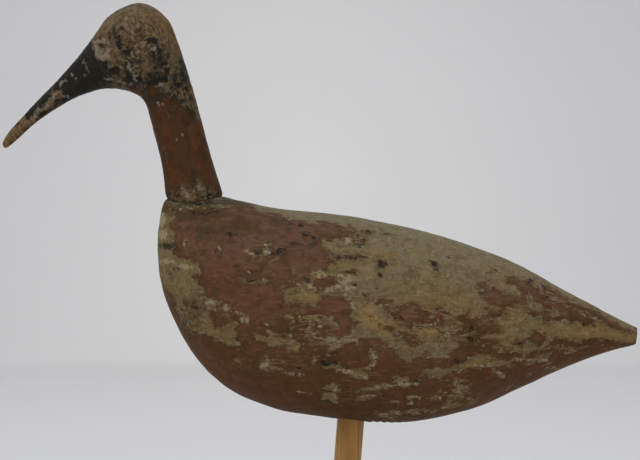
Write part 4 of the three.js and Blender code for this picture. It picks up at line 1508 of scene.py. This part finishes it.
stage_faces = tube_faces(len(profile_radius), STAGE_SIDES, 1) + fan(0, list(range(1, STAGE_SIDES + 1)), True)
floor = new_object("studio_floor", stage_points, stage_faces)
floor.data.shade_smooth()
print(f"floor and wall have {len(stage_faces)} faces")

# %% The pale paint of floor and wall
PAINTED_LIGHT_POOL = {"Location": (0.05, 0.0, -0.3), "Scale": (1.4, 0.0, 1.0)}  # the painted pool of light on the wall: palest 0.3 m up, narrower than it is high
paper, paper_tree = new_material("pale_painted_wall")
paper_place = add(paper_tree, "TexCoord", out="Object")
blotches = add(paper_tree, "TexNoise", {"Vector": paper_place, "Scale": 3.0, "Detail": 3.0})
floor_shade_height = add(paper_tree, "SeparateXYZ", {"Vector": paper_place}, out="Z")
from_middle = add(paper_tree, "Mapping", {"Vector": paper_place, **PAINTED_LIGHT_POOL})
way_from_painted_light = add(paper_tree, "VectorMath", (from_middle,), operation="LENGTH", out="Value")
paper_colour = coats(paper_tree, srgb("#f4f3f2"), [
    # painted pool of light: the wall's colour darkens away from its middle
    ((way_from_painted_light, 0, 1), srgb("#d9d9d9")),
    ((blotches, 0.3, 0.7, 0, 0.25), srgb("#e8e8e9")),
    # painted shade: the floor is darker than the wall, to even out the light from above
    ((floor_shade_height, 0.012, 0, 0, 0.3), srgb("#c9c9ca")),
])
feed(paper_tree, paper_tree.nodes["Principled BSDF"], {"Base Color": paper_colour, "Roughness": 0.9})
finish_with(floor, paper)
print(f"{paper.name}: {len(paper_tree.nodes)} nodes")

# %% Light from all round and from above
ROOM_LIGHT = 0.94
LAMP_PLACE = Vector((-0.9, -0.9, 1.8))
LAMP_AIM = Vector((0.0, 0.0, 0.2))
LAMP_SIDE = 1.4  # metres: large, so that its shadows are soft
LAMP_WATTS = 12.0
scene = bpy.context.scene
scene.world = bpy.data.worlds.new("soft_room")
scene.world.use_nodes = True
room = scene.world.node_tree
feed(room, room.nodes["Background"], {"Color": srgb("#f4f4f5"), "Strength": ROOM_LIGHT})
scene.view_settings.view_transform = "Standard"
lamp = put_in_scene("lamp_above", bpy.data.lights.new("lamp_above", "AREA"))
lamp.data.size = LAMP_SIDE
lamp.data.energy = LAMP_WATTS
lamp.data.color = srgb("#d5e3ff")[:3]  # as cool as daylight from a window
lamp.location = LAMP_PLACE
lamp.rotation_euler = (LAMP_AIM - LAMP_PLACE).to_track_quat("-Z", "Y").to_euler()
print(f"the lamp is {(LAMP_AIM - LAMP_PLACE).length:.1f} m away")

# %% [markdown]
# ## The camera
# The photograph was taken level and from the side, with a long lens: the bird shows hardly any of its far
# side. The picture is 640 by 460 pixels, and the outline says how many millimetres it takes in at the bird.

# %% Camera
PICTURE_WIDTH = 299.7  # mm at the middle of the bird
PICTURE_MIDDLE = (-6.72, 210.36)  # mm in the frame, sideways and up
CAMERA_DISTANCE = 1.5
SENSOR = 36.0
camera = put_in_scene("camera", bpy.data.cameras.new("camera"))
camera.data.sensor_width = SENSOR
camera.data.lens = SENSOR * CAMERA_DISTANCE / (PICTURE_WIDTH * MM)
camera.data.clip_end = 50.0
camera.location = (PICTURE_MIDDLE[0] * MM, -CAMERA_DISTANCE, PICTURE_MIDDLE[1] * MM)
camera.rotation_euler = (math.pi / 2, 0.0, 0.0)
scene.camera = camera
print(f"a {camera.data.lens:.0f} mm lens from {CAMERA_DISTANCE} m")
